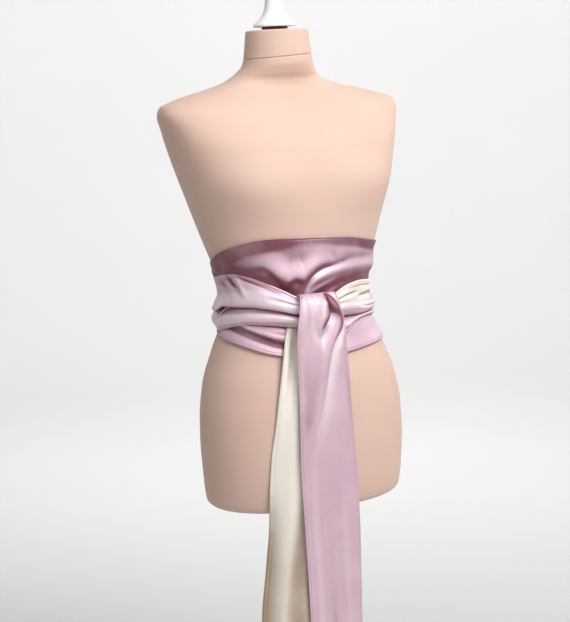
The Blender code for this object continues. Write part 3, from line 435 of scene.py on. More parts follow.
LEFT_TIE_CREASES = {
    "fan_low": [
        (38, 4.35, 1.6, 1.6, -0.2), (46, 4.25, 1.5, 1.5, -1.1), (56, 4.1, 1.7, 1.7, -1.7),
        (68, 3.95, 2, 2, -1.8), (82, 3.8, 2.4, 2.4, -0.9),
    ],
    "fan_middle": [
        (40, 4.7, 1.5, 1.5, -0.3), (48, 4.72, 1.4, 1.4, -1.4), (58, 4.72, 1.6, 1.6, -2),
        (70, 4.72, 2, 2, -1.9), (84, 4.7, 2.4, 2.4, -0.8),
    ],
    "fan_high": [
        (42, 5.05, 1.4, 1.4, -0.3), (50, 5.18, 1.4, 1.4, -1.4), (60, 5.3, 1.6, 1.6, -1.9),
        (72, 5.38, 2, 2, -1.7), (86, 5.4, 2.4, 2.4, -0.6),
    ],
    "fan_crest": [
        (44, 4.5, 1.4, 1.4, 0.3), (54, 4.45, 1.6, 1.6, 1.2), (66, 4.38, 2, 2, 1.4),
        (80, 4.3, 2.6, 2.6, 0.6),
    ],
    "band_hollow": [
        (6, 3.55, 2.4, 2.4, -1), (18, 3.5, 2.6, 2.6, -1.2), (30, 3.45, 2.8, 2.8, -0.8),
        (44, 3.4, 3, 3, -0.2),
    ],
    "band_crest": [
        (8, 4.45, 2.6, 3, 0.8), (20, 4.4, 3, 3.4, 1.2), (34, 4.4, 3, 3.4, 0.9),
        (46, 4.45, 3, 3, 0.2),
    ],
    "triangle_edge": [
        (12, 1.05, 1.5, 1.3, 0.8), (20, 1.05, 1.6, 1.2, 1.6), (28, 1.05, 1.6, 1.2, 1.6),
        (36, 1.1, 1.5, 1.2, 1), (42, 1.2, 1.5, 1.2, 0.3),
    ],
    "triangle_hollow": [
        (12, 0.5, 2.4, 2.4, -0.6), (20, 0.52, 2.6, 2.6, -1.6), (28, 0.55, 2.2, 2.2, -1.4),
        (36, 0.55, 1.6, 1.6, -0.5),
    ],
    "dark_gap": [
        (12, 2.05, 2.4, 2.4, -1.2), (20, 2.05, 2.6, 2.6, -3), (28, 2, 2.2, 2.2, -2.6),
        (35, 1.95, 1.8, 1.8, -1),
    ],
    "side_run": [
        (74, 1.2, 3, 3, 0.4), (90, 1.3, 4, 4, 1.4), (108, 1.4, 4, 4, 1.8), (128, 1.4, 4, 4, 1.4),
        (146, 1.5, 4, 4, 0.6),
    ],
    "side_trough": [
        (78, 2.5, 3, 3, -0.5), (94, 2.4, 3.5, 3.5, -1.5), (112, 2.4, 3.5, 3.5, -1.8),
        (130, 2.5, 3.5, 3.5, -1.2), (150, 2.6, 3.5, 3.5, -0.4),
    ],
    "side_high_run": [
        (86, 4.6, 4, 4, 0.6), (104, 4.4, 4.5, 4.5, 1.8), (122, 4.3, 5, 5, 2.2),
        (142, 4.4, 5, 5, 2), (160, 4.5, 5, 5, 1.2), (176, 4.6, 5, 5, 0.4),
    ],
    "back_high_trough": [
        (120, 5.3, 4, 4, -0.5), (136, 5.2, 4, 4, -1.5), (154, 5.2, 4.5, 4.5, -1.8),
        (172, 5.3, 4.5, 4.5, -1.4), (190, 5.4, 4.5, 4.5, -0.6),
    ],
    "back_low_run": [
        (150, 1.5, 4, 4, 0.4), (166, 1.4, 5, 5, 1.4), (184, 1.4, 5, 5, 1.6), (200, 1.5, 5, 5, 0.8),
    ],
}

REVERSE_CREASES = {
    "pocket_end": [
        (12, 1.95, 1.8, 1.8, -1.2), (17, 2, 2, 2, -2.4), (24, 2.3, 2.2, 2.2, -3),
        (31, 2.55, 2.2, 2.2, -2.6), (37, 2.75, 2, 2, -1.2), (42, 2.9, 1.8, 1.8, -0.2),
    ],
    "pocket_rim": [
        (16, 1.5, 2.2, 2, 0.6), (24, 1.55, 2.6, 2.2, 1.4), (33, 1.75, 2.8, 2.4, 1.8),
        (42, 2.2, 2.8, 2.8, 1.4), (52, 2.6, 2.8, 2.8, 0.6),
    ],
    "long_dip": [
        (18, 3.9, 2.6, 2.2, -0.3), (34, 3.8, 3.2, 2.6, -0.8), (54, 3.8, 3.6, 3, -0.9),
        (74, 3.8, 4, 3, -0.4),
    ],
    "side_crease": [
        (40, 1.9, 2.4, 2.4, -0.3), (52, 2.2, 2.8, 2.8, -1.1), (66, 2.4, 3, 3, -1.2),
        (82, 2.6, 3, 3, -0.4),
    ],
}

# Creases of the tails: along is the distance across the front, across the height.
# The lines run down, so right is the viewer's left.
FRONT_TAIL_CREASES = {
    "first_gather": [
        (-43, 1070, 3, 3, 0.1), (-44.6, 1058, 3.6, 3.6, 0.2), (-45.2, 1044, 4.4, 4.4, 0.3),
        (-45.2, 1028, 5.5, 5.5, 0.2),
    ],
    "first_gather_trough": [
        (-38.6, 1070, 2.6, 2.6, -0.1), (-38.8, 1058, 3, 3, -0.2), (-38.4, 1046, 3.8, 3.8, -0.3),
        (-37.6, 1032, 5, 5, -0.3),
    ],
    "bowed_ridge": [
        (-33.6, 1070, 3.8, 3.6, 0.1), (-31, 1058, 4.8, 4.4, 0.4), (-29.4, 1046, 6, 5, 0.9),
        (-29, 1032, 7.5, 6, 1.5), (-27.6, 1019, 10, 7, 2), (-23.4, 1010, 12, 7.5, 2.3),
        (-17.4, 1005, 13, 8, 2.4), (-10.6, 1008.5, 12, 8, 2.4), (-4.6, 1015.5, 8.5, 6.5, 2.4),
        (0.6, 1024.5, 6.4, 5, 2.2), (5, 1033.5, 5, 4.4, 1.8), (8.4, 1041.5, 4, 4, 1),
        (10, 1047, 3.6, 3.6, 0.2),
    ],
    "second_trough": [
        (-27.6, 1070, 3, 3, -0.1), (-24.6, 1058, 3.4, 3.4, -0.2), (-22, 1046, 4.2, 4.2, -0.4),
        (-20, 1034, 5.4, 5.4, -0.4),
    ],
    "third_gather": [
        (-22.6, 1070, 2.6, 2.6, 0.1), (-20, 1060, 3, 3, 0.1), (-17, 1050, 3.8, 3.8, 0.1),
    ],
    "notch": [
        (-17.2, 1072, 2.4, 2.4, -0.2), (-17.2, 1062, 2.6, 2.6, -0.4),
        (-17.4, 1054, 3.2, 3.2, -0.3), (-17.6, 1044, 3.6, 3.6, -0.1),
    ],
    "lit_fold": [
        (-10.5, 1072, 4, 2.6, 0.3), (-8.6, 1062, 4.8, 2.4, 0.6), (-9.4, 1052, 5.6, 3, 0.7),
        (-12.6, 1042, 6.5, 4, 0.5), (-15, 1032, 7, 5, 0.2),
    ],
    "inner_slope": [
        (4, 1050, 6, 4, -0.3), (1, 1041, 6.5, 4, -0.8), (-4, 1032, 7, 4, -1.1),
        (-9.8, 1023, 6.5, 5, -1), (-15, 1015, 6.5, 5, -0.5),
    ],
    "roll_trough": [
        (-3.5, 1069, 3.5, 1.8, -1), (2, 1062.5, 5.5, 3, -4.6), (5.6, 1055, 6.5, 4.4, -6.6),
        (8, 1048, 5.5, 5.4, -5.4), (13, 1040, 4, 5, -3.2), (15.4, 1030, 5, 4.4, -2.6),
        (12, 1018, 6.5, 4, -2), (4.8, 1006, 7.5, 3.4, -1.5), (-1.5, 993, 9, 3, -1.1),
        (-8.5, 968, 12, 3.5, -0.9), (-17.5, 930, 14, 4, -0.7), (-29, 890, 14, 6, -0.3),
    ],
    "roll_ridge": [
        (-10, 1072, 2, 3, 1), (-5, 1069.5, 2, 3.6, 2), (6.5, 1063.5, 2, 4.2, 3),
        (15, 1053, 2.2, 4.6, 3.6), (20.5, 1045, 2.2, 4.4, 3.9), (24, 1037, 2.2, 4, 4),
        (25, 1029, 2.3, 4.2, 4), (21, 1018, 2.5, 6.4, 3.9), (12.5, 1007.5, 2.6, 8.6, 3.7),
        (4.8, 995, 2.8, 10.6, 3.5), (0, 983, 3, 12, 3.2), (-4.6, 965, 3.4, 13, 2.8),
        (-11.4, 932, 4.6, 15, 2.2), (-21.3, 892, 7, 18, 1.7), (-35, 855, 10, 22, 1.1),
        (-46, 822, 12, 24, 0.6),
    ],
    "right_edge_fall": [
        (17.5, 985, 6, 6, -0.3), (19, 960, 6, 7, -1), (21, 925, 6, 8, -1.2), (23.5, 885, 6, 8, -1),
        (25.5, 840, 6, 8, -0.4),
    ],
    "middle_sweep": [
        (-44, 1000, 9, 9, -0.3), (-45, 970, 9, 11, -0.9), (-46, 935, 9, 13, -1.2),
        (-48, 895, 9, 13, -1.1), (-50, 860, 9, 12, -0.5),
    ],
    "broad_hollow": [
        (-22, 996, 14, 9, -0.3), (-26, 970, 14, 9, -0.7), (-31, 940, 14, 9, -0.9),
        (-38, 905, 14, 10, -0.7), (-46, 870, 12, 10, -0.3),
    ],
    "lower_left_ridge": [
        (-36, 838, 9, 12, 0.4), (-39, 790, 9, 13, 1.3), (-40, 730, 9, 14, 1.6),
        (-38, 660, 9, 14, 1.6), (-36, 570, 9, 14, 1.6), (-34, 460, 9, 14, 1.6),
        (-32, 360, 9, 14, 1.8), (-31, 300, 9, 14, 1.8),
    ],
    "lower_middle_trough": [
        (-18, 820, 10, 10, -0.3), (-18, 770, 9, 10, -0.7), (-16, 700, 9, 10, -0.8),
        (-14, 610, 9, 10, -0.9), (-12, 500, 9, 10, -1.2), (-10, 400, 9, 10, -1.5),
        (-9, 300, 9, 10, -1.6),
    ],
    "lower_right_ridge": [
        (6, 830, 12, 10, 0.4), (8, 760, 12, 10, 1.2), (9, 680, 12, 10, 1.3),
        (11, 590, 12, 10, 1.3), (12, 480, 12, 10, 1.5), (13, 380, 12, 10, 1.7),
        (13, 300, 12, 10, 1.8),
    ],
}

BACK_TAIL_CREASES = {
    "left_turn": [
        (-57, 1010, 3, 5, 0.3), (-64, 988, 3, 6, 0.8), (-70, 960, 4, 7, 1.4),
        (-76, 925, 5, 8, 1.6), (-82, 885, 6, 9, 1.4), (-87, 840, 7, 10, 1), (-90, 790, 8, 10, 0.6),
    ],
    "left_hollow": [
        (-50, 1005, 4, 4, -0.4), (-54, 985, 5, 5, -1.2), (-58, 955, 6, 6, -1.4),
        (-63, 915, 7, 7, -1), (-68, 870, 8, 8, -0.5),
    ],
    "lower_fold": [
        (-72, 800, 10, 8, 0.4), (-78, 730, 9, 9, 1.5), (-86, 660, 9, 9, 2), (-95, 580, 9, 9, 2.2),
        (-103, 480, 9, 9, 2.4), (-108, 380, 9, 9, 2.6), (-110, 300, 9, 9, 2.8),
    ],
    "lower_trough": [
        (-52, 780, 8, 8, -0.4), (-60, 700, 8, 8, -1.4), (-68, 620, 8, 8, -1.8),
        (-77, 530, 9, 9, -2), (-84, 430, 9, 9, -2.3), (-88, 340, 9, 9, -2.6),
        (-89, 300, 9, 9, -2.6),
    ],
    "right_fold": [
        (-34, 760, 8, 8, 0.4), (-42, 680, 8, 8, 1), (-50, 590, 8, 8, 1.3), (-58, 480, 8, 8, 1.6),
        (-64, 380, 8, 8, 1.8), (-66, 300, 8, 8, 1.9),
    ],
}


def curve_slopes(places: np.ndarray, values: np.ndarray) -> np.ndarray:
    """Slopes of a smooth curve through the values that never overshoots them.

    Args:
        places: Rising places, one for each row of values.
        values: The values, a column for each curve.

    Returns:
        The slope at each place, in the shape of values.
    """
    steps = np.diff(places)
    rises = np.diff(values, axis=0) / steps[:, None]
    slopes = np.zeros_like(values)
    slopes[0] = rises[0]
    slopes[-1] = rises[-1]
    before = (2 * steps[1:] + steps[:-1])[:, None]
    after = (steps[1:] + 2 * steps[:-1])[:, None]
    same_way = rises[:-1] * rises[1:] > 0
    safe_low = np.where(same_way, rises[:-1], 1.0)
    safe_high = np.where(same_way, rises[1:], 1.0)
    mean = (before + after) / (before / safe_low + after / safe_high)
    slopes[1:-1] = np.where(same_way, mean, 0.0)
    return slopes


def smooth(place: np.ndarray, places: np.ndarray, values: np.ndarray) -> np.ndarray:
    """Reads the columns of values, given at rising places, smoothly at each place.

    Args:
        place: The places to read at, in any shape.
        places: Rising places, one for each row of values.
        values: The values, a column for each curve.

    Returns:
        An array in the shape of place with one more axis for the columns.
    """
    place = np.clip(np.asarray(place, float), places[0], places[-1])
    slopes = curve_slopes(places, values)
    low = np.clip(np.searchsorted(places, place) - 1, 0, len(places) - 2)
    step = (places[low + 1] - places[low])[..., None]
    share = (place - places[low])[..., None] / step
    square = share**2
    cube = share**3
    return (
        (2 * cube - 3 * square + 1) * values[low]
        + (cube - 2 * square + share) * step * slopes[low]
        + (3 * square - 2 * cube) * values[low + 1]
        + (cube - square) * step * slopes[low + 1]
    )


def columns_at(source: Table, key: str, names: tuple[str, ...], place: np.ndarray) -> np.ndarray:
    """Reads several named columns of a table at places along its key column."""
    values = np.stack([source[name] for name in names], axis=-1)
    return smooth(place, source[key], values)


def column_at(source: Table, name: str, turn: np.ndarray) -> np.ndarray:
    """Reads one column of a table at turns round the form."""
    return columns_at(source, "turn", (name,), turn)[..., 0]


def soft_step(value: np.ndarray, low: float, high: float) -> np.ndarray:
    """Goes smoothly from 0 at low to 1 at high."""
    share = np.clip((value - low) / (high - low), 0.0, 1.0)
    return share * share * (3 - 2 * share)


def soft_larger(first: np.ndarray, second: np.ndarray, softness: float = 0.5) -> np.ndarray:
    """The larger of two values, with the corner between them rounded."""
    return 0.5 * (first + second + np.sqrt((first - second) ** 2 + softness**2))


def curve_through(points: np.ndarray, steps: int) -> np.ndarray:
    """Points along smooth curves, with the same number of steps between given points.

    Args:
        points: The given points on the second axis, one curve for each place on the first.
        steps: Steps between two given points.

    Returns:
        The points, in the shape of the given ones with a longer second axis.
    """
    before = np.concatenate([2 * points[:, :1] - points[:, 1:2], points[:, :-1]], axis=1)
    after = np.concatenate([points[:, 1:], 2 * points[:, -1:] - points[:, -2:-1]], axis=1)
    slope = (after - before) / 2
    pieces = []
    for share in np.arange(steps) / steps:
        square = share**2
        cube = share**3
        pieces.append(
            (2 * cube - 3 * square + 1) * points[:, :-1]
            + (cube - 2 * square + share) * slope[:, :-1]
            + (3 * square - 2 * cube) * points[:, 1:]
            + (cube - square) * slope[:, 1:]
        )
    woven = np.stack(pieces, axis=2)
    woven = woven.reshape(points.shape[0], -1, points.shape[2])
    return np.concatenate([woven, points[:, -1:]], axis=1)


def unevenness(
    along: np.ndarray, across: np.ndarray, pitch: tuple[float, float], seed: int
) -> np.ndarray:
    """Slow uneven swells over a surface, the same on each run.

    Args:
        along: Places along the cloth, in millimetres.
        across: Places across the cloth, in millimetres.
        pitch: About how long the swells are along and across, in millimetres.
        seed: Which pattern of swells.

    Returns:
        Values that mostly lie between -1 and 1.
    """
    chance = np.random.default_rng(seed)
    total = np.zeros(np.broadcast(along, across).shape)
    waves = 9
    for _ in range(waves):
        stretch = chance.uniform(0.7, 1.6, 2)
        tilt = chance.uniform(-0.6, 0.6)
        phase = chance.uniform(0.0, 2 * math.pi)
        steps_along = along / (pitch[0] * stretch[0])
        steps_across = across / (pitch[1] * stretch[1])
        total = total + np.sin(2 * math.pi * (steps_along + tilt * steps_across) + phase)
    return total / math.sqrt(waves)


class Creases:
    """Soft ridges and troughs laid on a cloth's own surface."""

    def __init__(self, rows: dict[str, list[tuple[float, ...]]], scale: tuple[float, float]) -> None:
        """Keeps each crease as a fine line.

        Args:
            rows: Each named crease's points, as along, across, right, left and rise.
            scale: Millimetres for each unit along and across.
        """
        self.scale = np.array(scale)
        self.lines = {
            name: curve_through(np.array([points], float), 6)[0] for name, points in rows.items()
        }

    def relief(self, along: np.ndarray, across: np.ndarray) -> np.ndarray:
        """Sum of all creases at each place.

        Args:
            along: Places along, in the units of the tables.
            across: Places across, in the units of the tables.

        Returns:
            How far the surface rises, in millimetres.
        """
        total = np.zeros(np.broadcast(along, across).shape)
        for line in self.lines.values():
            total = total + self.single(line, along * self.scale[0], across * self.scale[1])
        return total

    def single(self, line: np.ndarray, x: np.ndarray, y: np.ndarray) -> np.ndarray:
        """Rise of one crease.

        Args:
            line: Its points, as along, across, right, left and rise.
            x: Places along, in millimetres.
            y: Places across, in millimetres.

        Returns:
            The rise at each place, in millimetres.
        """
        spot = line[:, :2] * self.scale
        nearest = np.full(x.shape, np.inf)
        width = np.ones(x.shape)
        rise = np.zeros(x.shape)
        for start, end, low, high in zip(spot[:-1], spot[1:], line[:-1], line[1:]):
            run = end - start
            share = ((x - start[0]) * run[0] + (y - start[1]) * run[1]) / (run @ run)
            share = np.clip(share, 0.0, 1.0)
            off_x = x - start[0] - share * run[0]
            off_y = y - start[1] - share * run[1]
            distance = np.hypot(off_x, off_y)
            closer = distance < nearest
            on_left = run[0] * off_y - run[1] * off_x > 0
            widths = low[2:4] + share[..., None] * (high[2:4] - low[2:4])
            nearest = np.where(closer, distance, nearest)
            width = np.where(closer, np.where(on_left, widths[..., 1], widths[..., 0]), width)
            rise = np.where(closer, low[4] + share * (high[4] - low[4]), rise)
        return rise * np.exp(-((nearest / width) ** 2))


class HeightMap:
    """Highest value of a surface over a flat grid of two coordinates."""

    def __init__(
        self, low: tuple[float, float], high: tuple[float, float], cell: tuple[float, float]
    ) -> None:
        """Starts an empty map.

        Args:
            low: Lowest value of each coordinate.
            high: Highest value of each coordinate.
            cell: Size of a cell along each coordinate.
        """
        self.low = np.array(low)
        self.cell = np.array(cell)
        self.count = np.ceil((np.array(high) - self.low) / self.cell).astype(int) + 1
        self.values = np.full(tuple(self.count), EMPTY)

    def add(self, first: np.ndarray, second: np.ndarray, value: np.ndarray) -> None:
        """Raises the cells under a surface to its values.

        Args:
            first: First coordinate of the surface's points.
            second: Second coordinate.
            value: The value at each point.
        """
        places = np.stack([first.ravel(), second.ravel()], axis=-1)
        cells = np.rint((places - self.low) / self.cell).astype(int)
        inside = np.all((cells >= 0) & (cells < self.count), axis=-1)
        np.maximum.at(self.values, tuple(cells[inside].T), value.ravel()[inside])

    def soften(self, grow: int, rounds: int) -> None:
        """Grows the surface over its edges and evens out its steps.

        Args:
            grow: How many cells it grows by.
            rounds: How many times it is evened out.
        """
        for _ in range(grow):
            self.values = self.neighbours().max(axis=0)
        for _ in range(rounds):
            around = self.neighbours()
            solid = around > LEAST_SOLID
            mean = np.where(solid, around, 0.0).sum(axis=0) / np.maximum(solid.sum(axis=0), 1)
            self.values = np.where(self.values > LEAST_SOLID, mean, self.values)

    def neighbours(self) -> np.ndarray:
        """Gathers each cell with its eight neighbours.

        Returns:
            The nine values on a new first axis.
        """
        wide = np.pad(self.values, 1, mode="edge")
        rows, columns = self.values.shape
        return np.stack([wide[i : i + rows, j : j + columns] for i in range(3) for j in range(3)])

    def read(self, first: np.ndarray, second: np.ndarray) -> np.ndarray:
        """Reads the map between its cells.

        Args:
            first: First coordinate.
            second: Second coordinate.

        Returns:
            The value at each place, far below zero where nothing was added.
        """
        spot = [
            np.clip((first - self.low[0]) / self.cell[0], 0, self.count[0] - 1.001),
            np.clip((second - self.low[1]) / self.cell[1], 0, self.count[1] - 1.001),
        ]
        i, j = (value.astype(int) for value in spot)
        a, b = spot[0] - i, spot[1] - j
        grid = self.values
        low = grid[i, j] * (1 - a) + grid[i + 1, j] * a
        high = grid[i, j + 1] * (1 - a) + grid[i + 1, j + 1] * a
        return low * (1 - b) + high * b


@dataclass(frozen=True)
class FormShape:
    """The outer surface of the dress form."""

    bust_height: float = 1222.0
    bust_turn: float = 40.0
    bust_rise: float = 13.0
    bust_spread_height: float = 40.0
    bust_spread_turn: float = 26.0

    def radius(self, turn: np.ndarray, height: np.ndarray) -> tuple[np.ndarray, np.ndarray]:
        """Distance of the surface from the form's axis, and where the axis stands in Y.

        Args:
            turn: Angle from the front, in degrees.
            height: Height above the floor.

        Returns:
            The distance and the axis's Y, in millimetres.
        """
        names = ("half_width", "front", "back", "centre_y", "squareness")
        size = columns_at(FORM_LEVELS, "height", names, height)
        half_width, front, back, centre_y, squareness = np.moveaxis(size, -1, 0)
        angle = np.radians(turn)
        sine = np.sin(angle)
        cosine = np.cos(angle)
        depth = np.where(cosine > 0, front, back)
        sideways = np.abs(sine / half_width) ** squareness
        forwards = np.abs(cosine / depth) ** squareness
        radius = (sideways + forwards) ** (-1 / squareness)
        for side in (-1, 1):
            away = (turn - side * self.bust_turn + 180) % 360 - 180
            across = (away / self.bust_spread_turn) ** 2
            upward = ((height - self.bust_height) / self.bust_spread_height) ** 2
            radius = radius + self.bust_rise * np.exp(-across - upward)
        return radius, centre_y

    def point(self, turn: np.ndarray, height: np.ndarray, lift: np.ndarray | float = 0.0) -> np.ndarray:
        """Point at a turn and height, moved out from the form.

        Args:
            turn: Angle from the front, in degrees.
            height: Height above the floor.
            lift: Distance from the form.

        Returns:
            The points, in millimetres.
        """
        turn, height, lift = np.broadcast_arrays(turn, height, lift)
        radius, centre_y = self.radius(turn, height)
        angle = np.radians(turn)
        x = (radius + lift) * np.sin(angle)
        y = centre_y - (radius + lift) * np.cos(angle)
        return np.stack([x, y, height], axis=-1)


@dataclass
class ClothGrid:
    """The inner face of a cloth, with what its finish reads at each point."""

    points: np.ndarray
    seam: np.ndarray
    # Painted shade where below zero and painted highlight where above, for the finish to mix in
    depth: np.ndarray

    def normals(self) -> np.ndarray:
        """Unit vectors that point away from the form."""
        return unit(np.cross(np.gradient(self.points, axis=0), np.gradient(self.points, axis=1)))

    def log_size(self, name: str) -> None:
        """Logs the mean length of the cloth's rows both ways, and its area.

        Args:
            name: The piece's name.
        """
        steps_along = np.linalg.norm(np.diff(self.points, axis=0), axis=-1)
        steps_across = np.linalg.norm(np.diff(self.points, axis=1), axis=-1)
        area = (steps_along[:, :-1] * steps_across[:-1]).sum()
        across = steps_across.sum(axis=1).mean()
        along = steps_along.sum(axis=0).mean()
        LOG.info("%s: %.0f by %.0f mm, area %.0f mm2", name, along, across, area)


def unit(vectors: np.ndarray) -> np.ndarray:
    """The vectors at a length of one."""
    return vectors / np.maximum(np.linalg.norm(vectors, axis=-1, keepdims=True), 1e-9)


def spread_across(channels: np.ndarray, spacing: float) -> tuple[np.ndarray, np.ndarray]:
    """Reads each row of a fine grid again, at closer steps beside its two sewn edges.

    Args:
        channels: The grid, with x, y and z as the first three channels.
        spacing: Steps between the edges, in millimetres.

    Returns:
        The new grid, and the distance of each point from the nearer edge.
    """
    steps = np.linalg.norm(np.diff(channels[..., :3], axis=1), axis=-1)
    length = np.concatenate([np.zeros((len(steps), 1)), np.cumsum(steps, axis=1)], axis=1)
    inner = max(int((length[:, -1].max() - EDGE_ROOM) / spacing), len(EDGE_STEPS))
    made = np.empty((len(channels), 2 * len(EDGE_STEPS) + inner, channels.shape[2]))
    seam = np.empty(made.shape[:2])
    for i, row in enumerate(channels):
        total = length[i, -1]
        edge = EDGE_STEPS * min(1.0, total / NARROW_CLOTH)
        middle = np.linspace(edge[-1], total - edge[-1], inner + 2)[1:-1]
        places = np.concatenate([edge, middle, total - edge[::-1]])
        for k in range(row.shape[1]):
            made[i, :, k] = np.interp(places, length[i], row[:, k])
        seam[i] = np.minimum(places, total - places)
    return made, seam


def linked(name: str, data: bpy.types.ID) -> bpy.types.Object:
    """Makes an object of the data.

    Args:
        name: The object's name.
        data: A mesh, light or camera.

    Returns:
        The new object, linked into the scene.
    """
    made = bpy.data.objects.new(name, data)
    bpy.context.scene.collection.objects.link(made)
    return made


def smooth_mesh(
    name: str, points: np.ndarray, faces: list[list[int]], *finishes: bpy.types.Material
) -> bpy.types.Mesh:
    """Makes a smooth-shaded mesh.

    Args:
        name: The mesh's name.
        points: Its points, in metres.
        faces: Each face's points by number.
        finishes: Its materials, in the order of their slots.

    Returns:
        The new mesh.
    """
    mesh = bpy.data.meshes.new(name)
    mesh.from_pydata(points.tolist(), [], faces)
    for finish in finishes:
        mesh.materials.append(finish)
    mesh.shade_smooth()
    return mesh


def store(mesh: bpy.types.Mesh, name: str, values: np.ndarray) -> None:
    """Keeps a number at each of the mesh's points, for its finish to read."""
    attribute = mesh.attributes.new(name, "FLOAT", "POINT")
    attribute.data.foreach_set("value", values.astype(np.float32))


def sewn_edge(seam: np.ndarray, along: np.ndarray, seed: int) -> np.ndarray:
    """Raised roll of a turned and stitched edge, slightly puckered by its stitches.

    Args:
        seam: Distance from the edge.
        along: Distance along the edge.
        seed: Which pattern of puckers.

    Returns:
        How far the surface rises.
    """
    roll = 0.5 * np.exp(-(((seam - 1.5) / 1.1) ** 2))
    groove = -0.4 * np.exp(-(((seam - STITCH_LINE) / 0.6) ** 2))
    pucker = 0.16 * unevenness(along, seam, (7.0, 60.0), seed) * np.exp(-(((seam - 3.0) / 3.0) ** 2))
    return roll + groove + pucker


def cloth_shell(
    name: str,
    grid: ClothGrid,
    wall: float,
    face: bpy.types.Material,
    reverse: bpy.types.Material,
) -> bpy.types.Object:
    """Closed thin shell on a cloth's inner face, with a rounded edge all round.

    Args:
        name: The piece's name.
        grid: The inner face, along the cloth and then across it.
        wall: How thick the cloth is, in millimetres.
        face: Finish of the outer face.
        reverse: Finish of the inner face.

    Returns:
        The new object, linked into the scene.
    """
    inner = grid.points
    normal = grid.normals()
    outer = inner + normal * wall
    along, across = inner.shape[:2]
    ring = [(i, 0) for i in range(along)]
    ring += [(along - 1, j) for j in range(1, across)]
    ring += [(i, across - 1) for i in range(along - 2, -1, -1)]
    ring += [(0, j) for j in range(across - 2, 0, -1)]
    ring_i, ring_j = (np.array(part) for part in zip(*ring))
    side = np.zeros((len(ring), 3))
    for axis, low, high in ((ring_i, 0, along - 1), (ring_j, 0, across - 1)):
        for edge, step in ((low, 1), (high, -1)):
            here = axis == edge
            inside_i = ring_i + (step if axis is ring_i else 0)
            inside_j = ring_j + (step if axis is ring_j else 0)
            inside_i = np.clip(inside_i, 0, along - 1)
            inside_j = np.clip(inside_j, 0, across - 1)
            out = unit(inner[ring_i, ring_j] - inner[inside_i, inside_j])
            side = side + out * here[:, None]
    edge_normal = normal[ring_i, ring_j]
    side = unit(side - edge_normal * np.sum(side * edge_normal, axis=-1, keepdims=True))
    middle = (inner[ring_i, ring_j] + outer[ring_i, ring_j]) / 2
    rims = [
        middle + wall / 2 * (math.cos(angle) * edge_normal + math.sin(angle) * side)
        for angle in np.radians([45.0, 90.0, 135.0])
    ]
    count = along * across
    corner = (np.arange(along - 1)[:, None] * across + np.arange(across - 1)).ravel()
    front = np.stack([corner, corner + across, corner + across + 1, corner + 1], axis=-1)
    back = front[:, ::-1] + count
    ring_vertex = ring_i * across + ring_j
    chains = [ring_vertex]
    chains += [2 * count + k * len(ring) + np.arange(len(ring)) for k in range(len(rims))]
    chains += [ring_vertex + count]
    bands = []
    for near, far in zip(chains[:-1], chains[1:]):
        bands.append(np.stack([np.roll(near, -1), near, far, np.roll(far, -1)], axis=-1))
    faces = np.concatenate([front, back, *bands])
    vertices = np.concatenate([outer.reshape(-1, 3), inner.reshape(-1, 3), *rims])

    mesh = smooth_mesh(name, vertices * MM, faces.tolist(), face, reverse)
    slots = np.zeros(len(faces), np.int32)
    slots[len(front) : len(front) + len(back)] = 1
    mesh.polygons.foreach_set("material_index", slots)

    steps_along = np.linalg.norm(np.diff(inner, axis=0), axis=-1).mean(axis=1)
    run = np.concatenate([[0.0], np.cumsum(steps_along)])
    steps_across = np.linalg.norm(np.diff(inner, axis=1), axis=-1)
    width = np.concatenate([np.zeros((along, 1)), np.cumsum(steps_across, axis=1)], axis=1)
    spot = np.stack([np.broadcast_to(run[:, None], width.shape), width], axis=-1).reshape(-1, 2)
    # Painted shade and highlight: the grid's own, and more by the way the cloth leans, less of that on
    # a sewn edge; the inner face gets it turned over
    off_edge = EDGE_LEAN + (1 - EDGE_LEAN) * soft_step(grid.seam, *EDGE_LEAN_REACH)
    painted_lean_shading = np.minimum(normal[..., 2], LEAN_LIMIT) * off_edge
    per_vertex = {
        "weave": spot * MM,
        "seam": grid.seam.ravel(),
        "depth": (grid.depth + LEAN_PAINTED_SHADING * painted_lean_shading).ravel(),
    }
    for key, values in per_vertex.items():
        on_ring = values[ring_vertex]
        inside = values * INNER_PAINTED_SHADING if key == "depth" else values
        per_vertex[key] = np.concatenate([values, inside, *[on_ring] * len(rims)])
    corners = np.empty(len(mesh.loops), np.int32)
    mesh.loops.foreach_get("vertex_index", corners)
    layer = mesh.uv_layers.new(name="weave")
    layer.data.foreach_set("uv", per_vertex["weave"][corners].astype(np.float32).ravel())
    for key in ("seam", "depth"):
        store(mesh, key, per_vertex[key])
    mesh.update()
    return linked(name, mesh)


class Value:
    """An output socket that arithmetic can be written with."""

    def __init__(self, graph: "Graph", socket: bpy.types.NodeSocket) -> None:
        """Wraps a socket of a graph."""
        self.graph = graph
        self.socket = socket

    def __add__(self, other: "Value | float") -> "Value":
        """Sum of two values."""
        return self.graph.maths("ADD", self, other)

    def __sub__(self, other: "Value | float") -> "Value":
        """Difference of two values."""
        return self.graph.maths("SUBTRACT", self, other)

    def __rsub__(self, other: float) -> "Value":
        """A number less this value."""
        return self.graph.maths("SUBTRACT", other, self)

    def __mul__(self, other: "Value | float") -> "Value":
        """Product of two values."""
        return self.graph.maths("MULTIPLY", self, other)

    def __truediv__(self, other: "Value | float") -> "Value":
        """Quotient of two values."""
        return self.graph.maths("DIVIDE", self, other)

    def __pow__(self, other: float) -> "Value":
        """This value to a power."""
        return self.graph.maths("POWER", self, other)

    __radd__ = __add__
    __rmul__ = __mul__


